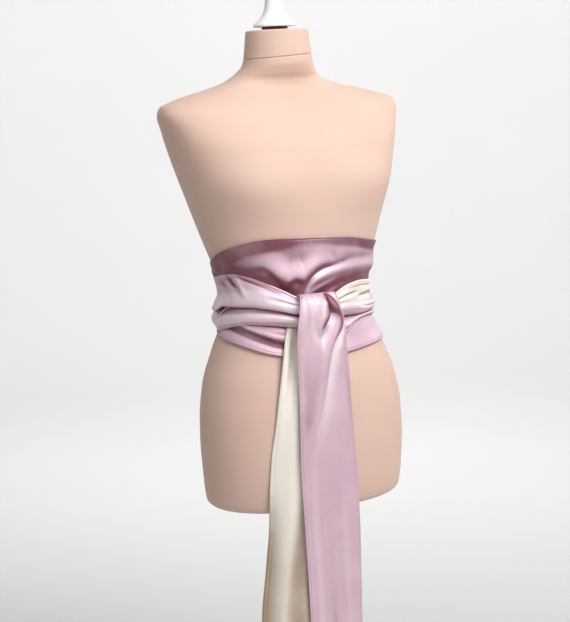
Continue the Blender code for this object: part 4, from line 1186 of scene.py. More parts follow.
class Graph:
    """The node tree of one new material."""

    def __init__(self, name: str) -> None:
        """Makes the material with its plain surface shader.

        Args:
            name: The material's name.
        """
        self.material = bpy.data.materials.new(name)
        self.material.use_nodes = True
        self.tree = self.material.node_tree
        self.shader = self.tree.nodes["Principled BSDF"]

    def add(
        self, kind: str, settings: dict[str, object], values: dict[str | int, object]
    ) -> bpy.types.Node:
        """Adds a node, sets its settings, then its sockets.

        Args:
            kind: The node's type.
            settings: Settings by name, set before the sockets.
            values: A number, colour or linked value for each socket, by name or place.

        Returns:
            The new node.
        """
        node = self.tree.nodes.new(kind)
        for key, setting in settings.items():
            setattr(node, key, setting)
        for key, value in values.items():
            self.feed(node.inputs[key], value)
        return node

    def feed(self, socket: bpy.types.NodeSocket, value: object) -> None:
        """Sets a socket to a number or colour, or links a value to it.

        Args:
            socket: The socket.
            value: What it gets.
        """
        if isinstance(value, Value):
            self.tree.links.new(value.socket, socket)
        else:
            socket.default_value = value

    def maths(self, operation: str, *values: "Value | float") -> Value:
        """A Math node's result."""
        node = self.add("ShaderNodeMath", {"operation": operation}, dict(enumerate(values)))
        return Value(self, node.outputs[0])

    def blend(self, share: "Value | float", first: object, second: object) -> Value:
        """Mixes two colours.

        Args:
            share: How much of the second colour there is.
            first: The first colour.
            second: The second colour.

        Returns:
            The mixed colour.
        """
        settings = {"data_type": "RGBA", "blend_type": "MIX"}
        node = self.add("ShaderNodeMix", settings, {0: share, 6: opaque(first), 7: opaque(second)})
        return Value(self, node.outputs[2])

    def band(self, value: Value, low: float, high: float) -> Value:
        """Goes smoothly from 0 where the value is low to 1 where it is high.

        Args:
            value: The value.
            low: Where the band begins.
            high: Where it ends.

        Returns:
            A share from 0 to 1.
        """
        settings = {"interpolation_type": "SMOOTHSTEP"}
        values = {"Value": value, "From Min": low, "From Max": high}
        node = self.add("ShaderNodeMapRange", settings, values)
        return Value(self, node.outputs["Result"])

    def noise(self, vector: Value, scale: float, detail: float) -> Value:
        """Noise from 0 to 1.

        Args:
            vector: Where it is read.
            scale: How fine it is.
            detail: How many finer layers it has.

        Returns:
            The noise.
        """
        values = {"Vector": vector, "Scale": scale, "Detail": detail, "Roughness": 0.55}
        node = self.add("ShaderNodeTexNoise", {"noise_dimensions": "3D"}, values)
        return Value(self, node.outputs["Fac"])

    def stretched(self, vector: Value, factors: Colour) -> Value:
        """A vector with each part multiplied."""
        node = self.add("ShaderNodeVectorMath", {"operation": "MULTIPLY"}, {0: vector, 1: factors})
        return Value(self, node.outputs[0])

    def attribute(self, name: str) -> Value:
        """A number stored at the mesh's points."""
        node = self.add("ShaderNodeAttribute", {"attribute_name": name}, {})
        return Value(self, node.outputs["Fac"])

    def places(self, source: "Places") -> Value:
        """Where a point is."""
        node = self.add("ShaderNodeTexCoord", {}, {})
        return Value(self, node.outputs[source.value])

    def bump(self, height: Value, distance: float, strength: float) -> Value:
        """A normal that follows small heights.

        Args:
            height: The heights.
            distance: What a height of 1 stands for, in metres.
            strength: How much of it shows.

        Returns:
            The normal.
        """
        values = {"Height": height, "Distance": distance, "Strength": strength}
        node = self.add("ShaderNodeBump", {}, values)
        return Value(self, node.outputs["Normal"])

    def finish(self, surface: dict[str, object]) -> bpy.types.Material:
        """Sets the surface shader's sockets.

        Args:
            surface: A number, colour or value for each socket.

        Returns:
            The material.
        """
        for key, value in surface.items():
            self.feed(self.shader.inputs[key], opaque(value))
        return self.material


def opaque(colour: object) -> object:
    """Completes a colour of three parts with a fourth of one.

    Args:
        colour: A colour, or any other value of a socket.

    Returns:
        The whole colour, or the other value as it is.
    """
    if isinstance(colour, tuple) and len(colour) == 3:
        return (*colour, 1.0)
    return colour


class Places(Enum):
    """Coordinates that a finish can be laid out by."""

    WEAVE = "UV"
    BODY = "Object"


@dataclass(frozen=True)
class SatinFinish:
    """Heavy satin: a smooth lustrous face over fine crosswise threads."""

    name: str
    face: Colour
    # The next two colours: painted shade in folds, also darker slubs and the stitch line; painted
    # highlight on crests, also paler clouds
    dark_marks_and_painted_shade: Colour
    pale_marks_and_painted_highlight: Colour
    sheen_tint: Colour
    roughness: float = 0.55
    metallic: float = 0.50
    sheen: float = 0.05
    thread_pitch: float = 0.00042
    stitch_length: float = 0.0026

    def build(self) -> bpy.types.Material:
        """Makes the material.

        Returns:
            The material.
        """
        graph = Graph(self.name)
        weave = graph.places(Places.WEAVE)
        body = graph.places(Places.BODY)
        parts = graph.add("ShaderNodeSeparateXYZ", {}, {0: weave})
        along = Value(graph, parts.outputs[0])
        across = Value(graph, parts.outputs[1])

        # The depth attribute paints shade where it is below zero and a highlight where it is above
        depth = graph.attribute("depth")
        painted_shade_share = graph.band(0.0 - depth, 0.15, 1.0)
        painted_highlight_share = graph.band(depth, 0.2, 1.0)
        colour = graph.blend(painted_shade_share * 0.92, self.face, self.dark_marks_and_painted_shade)
        colour = graph.blend(painted_highlight_share * 0.6, colour, self.pale_marks_and_painted_highlight)

        cloud = graph.noise(body, 17.0, 3.0)
        slub = graph.noise(graph.stretched(weave, (1050.0, 70.0, 1.0)), 1.0, 2.0)
        fine_slub = graph.noise(graph.stretched(weave, (2600.0, 160.0, 1.0)), 1.0, 1.0)
        colour = graph.blend(graph.band(cloud, 0.42, 0.75) * 0.16, colour, self.pale_marks_and_painted_highlight)
        colour = graph.blend(graph.band(slub, 0.52, 0.80) * 0.12, colour, self.dark_marks_and_painted_shade)

        seam = graph.attribute("seam")
        near_stitch = 1.0 - graph.band(graph.maths("ABSOLUTE", seam - STITCH_LINE), 0.15, 0.55)
        beat = graph.maths("PINGPONG", along, self.stitch_length / 2) / (self.stitch_length / 2)
        stitch = near_stitch * graph.band(beat, 0.16, 0.34)
        colour = graph.blend(near_stitch * 0.2, colour, self.dark_marks_and_painted_shade)
        colour = graph.blend(stitch * 0.35, colour, self.face)

        warp = graph.maths("SINE", across * (2 * math.pi / self.thread_pitch))
        weft = graph.maths("SINE", along * (2 * math.pi / (self.thread_pitch * 1.6)))
        height = slub * 0.9 + fine_slub * 0.6 + warp * 0.12 + weft * 0.08
        height = height - near_stitch * 1.6 + stitch * 2.4
        rough = slub * 0.10 + graph.band(cloud, 0.3, 0.8) * 0.06 + (self.roughness - 0.08)
        return graph.finish(
            {
                "Base Color": colour,
                "Roughness": rough,
                "Metallic": self.metallic,
                "Specular IOR Level": 0.5,
                "Sheen Weight": self.sheen,
                "Sheen Roughness": 0.4,
                "Sheen Tint": self.sheen_tint,
                "Normal": graph.bump(height, 0.00012, 0.35),
            }
        )


@dataclass(frozen=True)
class FormCoverFinish:
    """Close-fitting skin-coloured jersey stretched over the form."""

    name: str = "jersey_cover"
    colour: Colour = (0.665, 0.475, 0.40)
    warm: Colour = (0.64, 0.42, 0.335)

    def build(self) -> bpy.types.Material:
        """Makes the material.

        Returns:
            The material.
        """
        graph = Graph(self.name)
        body = graph.places(Places.BODY)
        cloud = graph.noise(body, 9.0, 3.0)
        grain = graph.noise(body, 900.0, 1.0)
        columns = graph.noise(graph.stretched(body, (1000.0, 1000.0, 260.0)), 1.0, 1.0)
        colour = graph.blend(graph.band(cloud, 0.3, 0.75) * 0.35, self.colour, self.warm)
        colour = graph.blend(graph.band(grain, 0.55, 0.8) * 0.10, colour, self.warm)
        height = columns * 0.7 + grain * 0.5
        return graph.finish(
            {
                "Base Color": colour,
                "Roughness": grain * 0.12 + 0.68,
                "Specular IOR Level": 0.3,
                "Sheen Weight": 0.06,
                "Sheen Roughness": 0.5,
                "Sheen Tint": (1.0, 0.86, 0.80),
                "Normal": graph.bump(height, 0.00016, 0.4),
            }
        )


@dataclass(frozen=True)
class PaintFinish:
    """Smooth paint with a slight ripple, dulled here and there by handling."""

    name: str
    colour: Colour
    worn: Colour
    roughness: float
    coat: float = 0.25

    def build(self) -> bpy.types.Material:
        """Makes the material.

        Returns:
            The material.
        """
        graph = Graph(self.name)
        body = graph.places(Places.BODY)
        ripple = graph.noise(body, 260.0, 2.0)
        dust = graph.noise(body, 22.0, 4.0)
        scuff = graph.noise(graph.stretched(body, (40.0, 40.0, 400.0)), 1.0, 3.0)
        colour = graph.blend(graph.band(dust, 0.45, 0.8) * 0.35, self.colour, self.worn)
        colour = graph.blend(graph.band(scuff, 0.68, 0.8) * 0.25, colour, self.worn)
        rough = graph.band(dust, 0.35, 0.75) * 0.16 + graph.band(scuff, 0.6, 0.8) * 0.1
        return graph.finish(
            {
                "Base Color": colour,
                "Roughness": rough + self.roughness,
                "Coat Weight": self.coat,
                "Coat Roughness": 0.2,
                "Normal": graph.bump(ripple, 0.00025, 0.25),
            }
        )


@dataclass(frozen=True)
class StudioFinish:
    """Plain matt surface of the studio's floor and wall."""

    name: str = "studio_paper"
    colour: Colour = (0.77, 0.77, 0.77)

    def build(self) -> bpy.types.Material:
        """Makes the material.

        Returns:
            The material.
        """
        graph = Graph(self.name)
        cloud = graph.noise(graph.places(Places.BODY), 0.8, 2.0)
        paler = tuple(min(1.0, part * 1.02) for part in self.colour)
        colour = graph.blend(graph.band(cloud, 0.3, 0.7), self.colour, paler)
        return graph.finish({"Base Color": colour, "Roughness": 0.95, "Specular IOR Level": 0.1})


@dataclass(frozen=True)
class Finishes:
    """Every finish of the sash, the form and its stand."""

    pink: bpy.types.Material
    cream: bpy.types.Material
    cover: bpy.types.Material
    paint: bpy.types.Material
    plate: bpy.types.Material

    @classmethod
    def make(cls) -> "Finishes":
        """Builds all the materials.

        Returns:
            The finishes.
        """
        pink = SatinFinish(
            "pink_satin_cloth",
            face=(0.695, 0.49, 0.585),
            dark_marks_and_painted_shade=(0.20, 0.045, 0.065),
            pale_marks_and_painted_highlight=(0.95, 0.855, 0.905),
            sheen_tint=(0.96, 0.86, 0.98),
        )
        cream = SatinFinish(
            "cream_satin_cloth",
            face=(0.88, 0.82, 0.745),
            dark_marks_and_painted_shade=(0.36, 0.25, 0.16),
            pale_marks_and_painted_highlight=(0.95, 0.92, 0.87),
            sheen_tint=(1.0, 0.97, 0.92),
            metallic=0.3,
        )
        paint = PaintFinish("white_stove_paint", (0.84, 0.84, 0.84), (0.70, 0.70, 0.69), 0.32)
        plate = PaintFinish("dark_washer", (0.045, 0.040, 0.038), (0.10, 0.09, 0.09), 0.5, coat=0.0)
        return cls(pink.build(), cream.build(), FormCoverFinish().build(), paint.build(), plate.build())


def lofted(
    name: str, rings: np.ndarray, finish: bpy.types.Material, sharp: float = 40.0
) -> bpy.types.Object:
    """Closed body through rings of points, with a disc of faces at each end.

    Args:
        name: The piece's name.
        rings: Points in millimetres, levels first and then round the body.
        finish: Its material.
        sharp: Edges that bend by more than this many degrees stay crisp.

    Returns:
        The new object, linked into the scene.
    """
    levels, sides = rings.shape[:2]
    step = np.arange(sides)
    after = (step + 1) % sides
    faces = []
    for level in range(levels - 1):
        low = level * sides
        high = low + sides
        band = np.stack([low + step, low + after, high + after, high + step], axis=-1)
        faces += band.tolist()
    bottom = levels * sides
    top = bottom + 1
    last = (levels - 1) * sides
    faces += np.stack([after, step, np.full(sides, bottom)], axis=-1).tolist()
    faces += np.stack([last + step, last + after, np.full(sides, top)], axis=-1).tolist()
    ends = np.stack([rings[0].mean(axis=0), rings[-1].mean(axis=0)])
    vertices = np.concatenate([rings.reshape(-1, 3), ends])
    mesh = smooth_mesh(name, vertices * MM, faces, finish)
    mesh.set_sharp_from_angle(angle=math.radians(sharp))
    return linked(name, mesh)


def settle(piece: bpy.types.Object, slot: str, *nodes: str) -> bpy.types.Object:
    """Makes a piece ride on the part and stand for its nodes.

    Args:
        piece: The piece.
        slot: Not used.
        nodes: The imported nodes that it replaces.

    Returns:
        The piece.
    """
    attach(piece, "root")
    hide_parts(*nodes)
    LOG.info("%s: %d vertices", piece.name, len(piece.data.vertices))
    return piece


@dataclass
class FormBody:
    """Torso and neck of the dress form, with the slanting seam between them."""

    shape: FormShape
    finishes: Finishes
    sides: int = 160
    seam_height: float = 1410.0
    seam_gap: float = 0.3
    seam_tilt: float = math.tan(math.radians(3.4))
    tilt_start: float = 1385.0
    edge_radius: float = 2.4

    def build(self) -> None:
        """Builds the torso and the neck."""
        turns = np.arange(self.sides) * 360.0 / self.sides
        base = FORM_LEVELS["height"][0]
        levels = np.concatenate(
            [
                base + np.array([0.0, 0.3, 1.0, 2.2, 4.0]),
                np.arange(base + 7.0, 1300.0, 5.0),
                np.arange(1300.0, 1400.0, 1.6),
                self.seam_height - np.array([8.0, 5.0, 3.0, 1.6, 0.7, 0.2, 0.0]),
            ]
        )
        inset = self.rounding(levels, self.seam_height, 1.4)
        rings = self.shape.point(turns[None, :], levels[:, None], -inset[:, None])
        tilt = self.seam_tilt * soft_step(levels, self.tilt_start, self.seam_height)
        rings[..., 2] += tilt[:, None] * rings[..., 0]
        torso = lofted("form_torso_cover", rings, self.finishes.cover)
        settle(torso, "form_cover", "form_torso")

        top = FORM_LEVELS["height"][-1]
        foot = self.seam_height + self.seam_gap
        levels = np.concatenate(
            [
                foot + np.array([0.0, 0.2, 0.7, 1.6, 3.0]),
                np.linspace(foot + 5.0, top - 4.0, 14),
                top - np.array([2.4, 1.4, 0.7, 0.25, 0.0]),
            ]
        )
        inset = self.rounding(levels, top, self.edge_radius) + self.rounding(-levels, -foot, 1.2)
        rings = self.shape.point(turns[None, :], levels[:, None], -inset[:, None])
        tilt = self.seam_tilt * (1 - soft_step(levels, self.seam_height, top))
        rings[..., 2] += tilt[:, None] * rings[..., 0]
        neck = lofted("form_neck_cover", rings, self.finishes.cover)
        settle(neck, "form_cover", "form_neck")

    def rounding(self, levels: np.ndarray, end: float, radius: float) -> np.ndarray:
        """How far the surface draws in close to an end, as a quarter round."""
        near = np.clip((levels - end + radius) / radius, 0.0, 1.0)
        return radius * (1 - np.sqrt(np.clip(1 - near**2, 0.0, 1.0)))


@dataclass
class NeckCap:
    """Turned white cap on the neck, over a dark washer."""

    finishes: Finishes
    sides: int = 96
    profile: tuple[tuple[float, float], ...] = (
        (31.2, 0.0),
        (32.0, 0.7),
        (32.1, 2.4),
        (31.0, 4.2),
        (28.4, 6.4),
        (24.2, 10.2),
        (20.0, 15.0),
        (17.0, 20.0),
        (15.0, 25.0),
        (13.6, 32.0),
        (12.4, 40.0),
        (12.9, 42.6),
        (14.8, 46.0),
        (15.6, 50.5),
        (15.4, 54.5),
        (13.6, 59.6),
        (10.6, 62.8),
        (7.5, 64.6),
        (3.6, 65.7),
        (0.9, 66.0),
    )

    def build(self) -> None:
        """Builds the cap on the place of its node, and finishes the washer."""
        low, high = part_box("form_neck_cap")
        centre = np.array([(low.x + high.x) / 2, (low.y + high.y) / 2, low.z]) / MM
        outline = curve_through(np.array([self.profile]), 5)[0]
        angles = np.arange(self.sides) * 2 * math.pi / self.sides
        around = np.stack([np.cos(angles), np.sin(angles), np.zeros(self.sides)], axis=-1)
        rings = outline[:, :1, None] * around[None] + centre
        rings[..., 2] += outline[:, 1:2]
        cap = lofted("form_neck_cap_turned", rings, self.finishes.paint, sharp=60.0)
        settle(cap, "white_paint", "form_neck_cap")
        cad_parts["form_neck_plate"].data.materials[0] = self.finishes.plate


@dataclass
class Stand:
    """Board under the torso, collar, pole and weighted foot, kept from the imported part."""

    finishes: Finishes
    nodes: tuple[str, ...] = ("form_base_board", "stand_collar", "stand_pole", "stand_foot")

    def build(self) -> None:
        """Gives each node its paint."""
        for name in self.nodes:
            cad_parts[name].data.materials[0] = self.finishes.paint
            LOG.info("%s: painted", name)


@dataclass
class FrontPanel:
    """Wide shaped panel round the waist, smooth at its edges and drawn in to the knot."""

    shape: FormShape
    finishes: Finishes
    wall: float = 0.9
    gap: float = 0.7
    columns: int = 330
    spacing: float = 2.1
    swell_turn: float = -12.0
    swell_height: float = 1088.0
    swell_rise: float = 3.4
    swell_spread_turn: float = 46.0
    swell_spread_height: float = 34.0
    flare: float = 1.4
    flare_depth: float = 9.0
    side_turn: float = 120.0
    seam_turn: float = 148.0
    knot_turn: float = -2.0
    front_turns: tuple[float, float] = (60.0, 95.0)
    slack: float = 0.35
    rise: float = 0.5
    seat: float = 0.2
    # Painted shade in the creases' troughs and painted highlight on their crests, up to a limit, and
    # painted shade above and below the ties' edges
    crease_painted_shading_scale: float = 3.6
    painted_highlight_limit: float = 0.45
    above_painted_shade: float = 0.65
    above_reach: float = 7.0
    below_painted_shade: float = 0.7
    below_reach: float = 3.5
    creases: Creases = field(default_factory=lambda: Creases(PANEL_CREASES, (1.8, 1.0)))
    shades: Creases = field(default_factory=lambda: Creases(PANEL_SHADES, (1.8, 1.0)))

    def lift(self, turn: np.ndarray, height: np.ndarray) -> np.ndarray:
        """How far the inner face stands off the form.

        Args:
            turn: Angle from the front.
            height: Height above the floor.

        Returns:
            The lift.
        """
        across = ((turn - self.swell_turn) / self.swell_spread_turn) ** 2
        upward = ((height - self.swell_height) / self.swell_spread_height) ** 2
        swell = self.swell_rise * np.exp(-across - upward)
        foot = column_at(PANEL_EDGES, "foot", turn)
        in_front = 1 - soft_step(np.abs(turn), *self.front_turns)
        flare = self.flare * in_front * (1 - soft_step(height, foot, foot + self.flare_depth))
        slack = self.slack * unevenness(turn * 1.9, height, (90.0, 34.0), 3)
        relief = swell + flare + self.rise + slack + self.creases.relief(turn, height)
        fade = 1 - soft_step(np.abs(turn), self.side_turn, self.seam_turn)
        return self.gap + soft_larger(relief, 0.0) * fade

    def painted_contact_shade(self, turn: np.ndarray, height: np.ndarray) -> np.ndarray:
        """How much painted shade the panel gets beside the ties' edges, where it is tucked in under
        them.

        Args:
            turn: Angle from the front.
            height: Height above the floor.

        Returns:
            The part of the tone to take away.
        """
        on_left = turn < self.knot_turn
        left_top = column_at(RIGHT_TIE_FOLDS, "top", turn)
        left_foot = column_at(RIGHT_TIE_FOLDS, "foot", turn)
        top = np.where(on_left, left_top, column_at(REVERSE_FOLDS, "top", turn))
        foot = np.where(on_left, left_foot, column_at(LEFT_TIE_FOLDS, "foot", turn))
        above = np.exp(-((np.maximum(height - top, 0.0) / self.above_reach) ** 2))
        below = np.exp(-((np.maximum(foot - height, 0.0) / self.below_reach) ** 2))
        return self.above_painted_shade * above + self.below_painted_shade * below

    def build(self, layers: HeightMap) -> None:
        """Builds the panel and adds it to the map of cloth on the form.

        Args:
            layers: The map of outer lifts by turn and height.
        """
        turns = np.linspace(PANEL_EDGES["turn"][0], PANEL_EDGES["turn"][-1], self.columns)
        foot, top = np.moveaxis(columns_at(PANEL_EDGES, "turn", ("foot", "top"), turns), -1, 0)
        share = np.linspace(0.0, 1.0, 120)
        height = foot[:, None] + (top - foot)[:, None] * share
        turn = np.repeat(turns[:, None], len(share), axis=1)
        plain = self.shape.point(turn, height, 2.0)
        channels = np.concatenate([plain, turn[..., None], height[..., None]], axis=-1)
        channels, seam = spread_across(channels, self.spacing)
        turn, height = channels[..., 3], channels[..., 4]
        lift = self.lift(turn, height)
        # Painted shade and highlight from the creases, the painted shade strokes and the ties' edges
        depth = self.creases.relief(turn, height) / self.crease_painted_shading_scale
        depth = np.minimum(depth, self.painted_highlight_limit)
        depth = depth + self.shades.relief(turn, height) - self.painted_contact_shade(turn, height)
        raised = lift + sewn_edge(seam, turn * 2.0, 11) + self.seat
        grid = ClothGrid(self.shape.point(turn, height, raised), seam, depth)
        layers.add(turn % 360.0, height, raised + self.wall)
        pink, cream = self.finishes.pink, self.finishes.cream
        piece = cloth_shell("sash_panel_cloth", grid, self.wall, pink, cream)
        settle(piece, "pink_satin", "sash_panel")
        grid.log_size(piece.name)


@dataclass
class WornTie:
    """One tie round the waist, gathered into folds that run along it."""

    name: str
    node: str
    folds: Table
    lifts: dict[str, tuple[str, float]]
    painted_fold_shading: tuple[float, ...]
    creases: Creases
    shape: FormShape
    face: bpy.types.Material
    reverse: bpy.types.Material
    slot: str
    seed: int
    flat: tuple[float, float]
    cut_area: float
    rests_on: tuple[str, ...]
    held: str = "gathered"
    wall: float = 0.8
    gap: float = 0.4
    spacing: float = 1.7
    pitch_turn: float = 0.9
    slack: float = 0.3
    least_lift: float = 0.5
    # Millimetres of crease for each unit of painted shade and highlight, and the share of the fold
    # lines' painted shading
    crease_painted_shading_scale: float = 3.2
    painted_fold_shading_share: float = 0.75

    def section(self, turns: np.ndarray, steps: int) -> tuple[np.ndarray, np.ndarray, np.ndarray]:
        """Heights, lifts and fold numbers of the tie's section at each turn.

        Args:
            turns: Angles from the front.
            steps: Steps between two fold lines.

        Returns:
            Heights, lifts and fold numbers, turns first.
        """
        heights = columns_at(self.folds, "turn", tuple(self.lifts), turns)
        names = tuple(scale for scale, _ in self.lifts.values())
        scales = columns_at(self.folds, "turn", names, turns)
        rest = columns_at(self.folds, "turn", ("rest",), turns)
        lifts = rest + scales * np.array([lift for _, lift in self.lifts.values()])
        curve = curve_through(np.stack([heights, lifts], axis=-1), steps)
        number = np.linspace(0.0, len(self.lifts) - 1.0, curve.shape[1])
        return curve[..., 0], curve[..., 1], np.repeat(number[None, :], len(turns), axis=0)

    def build(self, layers: HeightMap, fronts: HeightMap) -> None:
        """Builds the tie over the cloth below it and adds it to the maps.

        Args:
            layers: The map of outer lifts by turn and height.
            fronts: The map of how far cloth stands in front, by place across and height.
        """
        first, last = self.folds["turn"][0], self.folds["turn"][-1]
        turns = np.linspace(first, last, int((last - first) / self.pitch_turn) + 1)
        height, lift, number = self.section(turns, 24)
        turn = np.repeat(turns[:, None], height.shape[1], axis=1)
        plain = self.shape.point(turn, height, lift)
        parts = [plain, turn[..., None], height[..., None], lift[..., None], number[..., None]]
        channels, seam = spread_across(np.concatenate(parts, axis=-1), self.spacing)
        turn, height, lift, number = np.moveaxis(channels[..., 3:], -1, 0)
        # Painted shade and highlight along the fold lines, read between them
        relief = self.creases.relief(turn, number)
        painted_shading = curve_through(np.array(self.painted_fold_shading)[None, :, None], 12)[0, :, 0]
        painted_shading = np.interp(number, np.linspace(0.0, len(self.painted_fold_shading) - 1.0, len(painted_shading)), painted_shading)
        run = turn * TIE_DEGREE
        slack = self.slack * unevenness(run, number * 11.0, (60.0, 16.0), self.seed)
        raised = lift + relief + slack + sewn_edge(seam, run, self.seed + 1)
        floor = layers.read(turn % 360.0, height) + self.gap
        raised = soft_larger(soft_larger(raised, floor, 0.3), self.least_lift, 0.2)
        points = self.shape.point(turn, height, raised)
        # Painted shade in the creases' troughs and painted highlight on their crests, with the fold
        # lines' painted shading
        grid = ClothGrid(points, seam, relief / self.crease_painted_shading_scale + self.painted_fold_shading_share * painted_shading)
        piece = cloth_shell(self.name, grid, self.wall, self.face, self.reverse)
        settle(piece, self.slot, self.node)
        outer = points + grid.normals() * self.wall
        layers.add(turn % 360.0, height, raised + self.wall)
        fronts.add(outer[..., 0], outer[..., 2], -outer[..., 1])
        grid.log_size(piece.name)


@dataclass
class KnotCore:
    """Rounded core of the half knot: crossed layers drawn into pleats."""

    finishes: Finishes
    pleats: int = 7
    pleat_depth: float = 0.05
    sides: int = 96
    levels: int = 48
    pole_gap: float = 0.02
    fill: float = 0.97
    no_seam: float = 20.0

    def build(self, fronts: HeightMap) -> None:
        """Builds the core in the place of its node.

        Args:
            fronts: The map of how far cloth stands in front, by place across and height.
        """
        low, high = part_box("sash_knot")
        low, high = np.array(low) / MM, np.array(high) / MM
        centre, half = (low + high) / 2, (high - low) / 2
        fall = np.linspace(self.pole_gap, math.pi - self.pole_gap, self.levels)[:, None]
        angle = np.linspace(0.0, 2 * math.pi, self.sides, endpoint=False)[None, :]
        x = np.sin(fall) * np.cos(angle)
        y = np.sin(fall) * np.sin(angle)
        z = -np.cos(fall) + 0.0 * angle
        twist = z * 1.3 + 0.35 * x
        pleat = np.abs(np.sin(self.pleats * (twist + 0.12 * np.sin(3 * x + 1.0)) / 2)) ** 0.6
        scale = 1.0 - self.pleat_depth * (1 - pleat)
        rings = np.stack([x, y, z], axis=-1) * scale[..., None] * half * self.fill + centre
        piece = lofted("sash_knot_core", rings, self.finishes.pink, sharp=180.0)
        for key, value in (("seam", self.no_seam), ("depth", 0.0)):
            store(piece.data, key, np.full(len(piece.data.vertices), value))
        settle(piece, "pink_satin", "sash_knot")
        fronts.add(rings[..., 0], rings[..., 2], -rings[..., 1])


def tail_rows(source: Table, spacing: tuple[float, float]) -> Table:
    """Reads every column of a tail's table along its length, closer at its top.

    Args:
        source: The table, from the top down.
        spacing: Steps at the top and at the hem.

    Returns:
        The table's columns at each step.
    """
    drop = np.hypot(np.diff(source["height"]), np.diff(source["front"]))
    length = np.concatenate([[0.0], np.cumsum(drop)])
    places = [0.0]
    while places[-1] < length[-1]:
        share = min(1.0, places[-1] / 260.0)
        places.append(places[-1] + spacing[0] + (spacing[1] - spacing[0]) * share)
    places[-1] = length[-1]
    values = smooth(np.array(places), length, np.stack([source[name] for name in source], -1))
    return {name: values[:, i] for i, name in enumerate(source)}


@dataclass
class Tail:
    """What both tails share: how their points are laid out, seen from the front."""

    finishes: Finishes
    wall: float = 0.9
    across: int = 64
    spacing: tuple[float, float] = (1.2, 3.0)
    crease_painted_shading_scale: float = 3.0

    def lay_out(self, source: Table) -> tuple[Table, np.ndarray, np.ndarray, np.ndarray, np.ndarray]:
        """Places the tail's points, closer beside its sewn edges.

        Args:
            source: The tail's table.

        Returns:
            The table's columns at each row, the share of the width at each point across,
            and each point's place across, height and distance from the nearest edge.
        """
        row = {name: values[:, None] for name, values in tail_rows(source, self.spacing).items()}
        by_edge = EDGE_STEPS / (row["right"] - row["left"]).mean()
        middle = np.linspace(by_edge[-1], 1 - by_edge[-1], self.across)[1:-1]
        share = np.concatenate([by_edge, middle, 1 - by_edge[::-1]])
        x = row["left"] + (row["right"] - row["left"]) * share[None, :]
        height = row["height"] + 0.0 * x
        seam = np.minimum(x - row["left"], row["right"] - x)
        return row, share, x, height, np.minimum(seam, height - height.min())


@dataclass
class FrontTail(Tail):
    """Tail that rolls over the knot and falls straight, pink face out."""

    gap: float = 0.5
    across: int = 72
    spacing: tuple[float, float] = (0.9, 3.0)
    hollow_half_width: float = 6.0
    edge_share: float = 0.16
    pucker_pitch: float = 6.5
    pucker_rise: float = 0.35
    # Painted shade in the hollow inside the roll, where it is and how far it reaches, in the table's
    # hollow, and over the top where the tail crests over the knot
    inside_at: tuple[float, float] = (5.0, 1055.0)
    inside_reach: tuple[float, float] = (6.0, 10.0)
    inside_painted_shade: float = 1.2
    hollow_painted_shade_scale: float = 9.0
    top_painted_shade: float = 0.6
    creases: Creases = field(default_factory=lambda: Creases(FRONT_TAIL_CREASES, (1.0, 1.0)))

    def build(self, fronts: HeightMap) -> None:
        """Builds the tail in front of the knot and ties.

        Args:
            fronts: The map of how far cloth stands in front, by place across and height.
        """
        row, share, x, height, seam = self.lay_out(FRONT_TAIL_ROWS)
        hollow = row["hollow"] * np.exp(-(((x - row["hollow_at"]) / self.hollow_half_width) ** 2))
        from_edge = np.clip(1 - (1 - share) / self.edge_share, 0.0, 1.0)
        front = row["front"] - hollow - row["edge_back"] * from_edge**2
        points = np.stack([x, -front, height], axis=-1)
        creased = self.creases.relief(x, height)
        puckered = soft_step(-height, -862.0, -836.0) * (1 - soft_step(-height, -700.0, -640.0))
        by_left = np.exp(-(((x - row["left"] - 2.0) / 4.0) ** 2))
        ripple = np.sin(2 * math.pi * (height + 5.0 * np.sin(height / 23.0)) / self.pucker_pitch)
        relief = creased + self.pucker_rise * puckered * by_left * ripple
        relief = relief + 0.35 * unevenness(x, height, (40.0, 150.0), 21)
        edge = sewn_edge(seam, height, 23)
        start = ClothGrid(points, seam, relief)
        normal = -start.normals()
        moved = points + normal * (relief + edge)[..., None]
        ahead = fronts.read(moved[..., 0], moved[..., 2]) + self.gap
        fallen = soft_step(-height, -1066.0, -1058.0)
        pushed = soft_larger(-moved[..., 1], ahead, 0.4)
        moved[..., 1] = moved[..., 1] * (1 - fallen) - pushed * fallen
        # Painted shade and highlight from the creases, and painted shade in the hollows and over the
        # top
        beside = ((x - self.inside_at[0]) / self.inside_reach[0]) ** 2
        above = ((height - self.inside_at[1]) / self.inside_reach[1]) ** 2
        depth = creased / self.crease_painted_shading_scale - hollow / self.hollow_painted_shade_scale
        depth = depth - self.inside_painted_shade * np.exp(-beside - above)
        depth = depth - self.top_painted_shade * soft_step(height, 1044.0, 1066.0)
        points = np.transpose(moved[::-1], (1, 0, 2))
        grid = ClothGrid(points, seam[::-1].T, depth[::-1].T)
        pink, cream = self.finishes.pink, self.finishes.cream
        piece = cloth_shell("sash_tail_front_cloth", grid, self.wall, pink, cream)
        settle(piece, "pink_satin", "sash_tail_front")
        grid.log_size(piece.name)


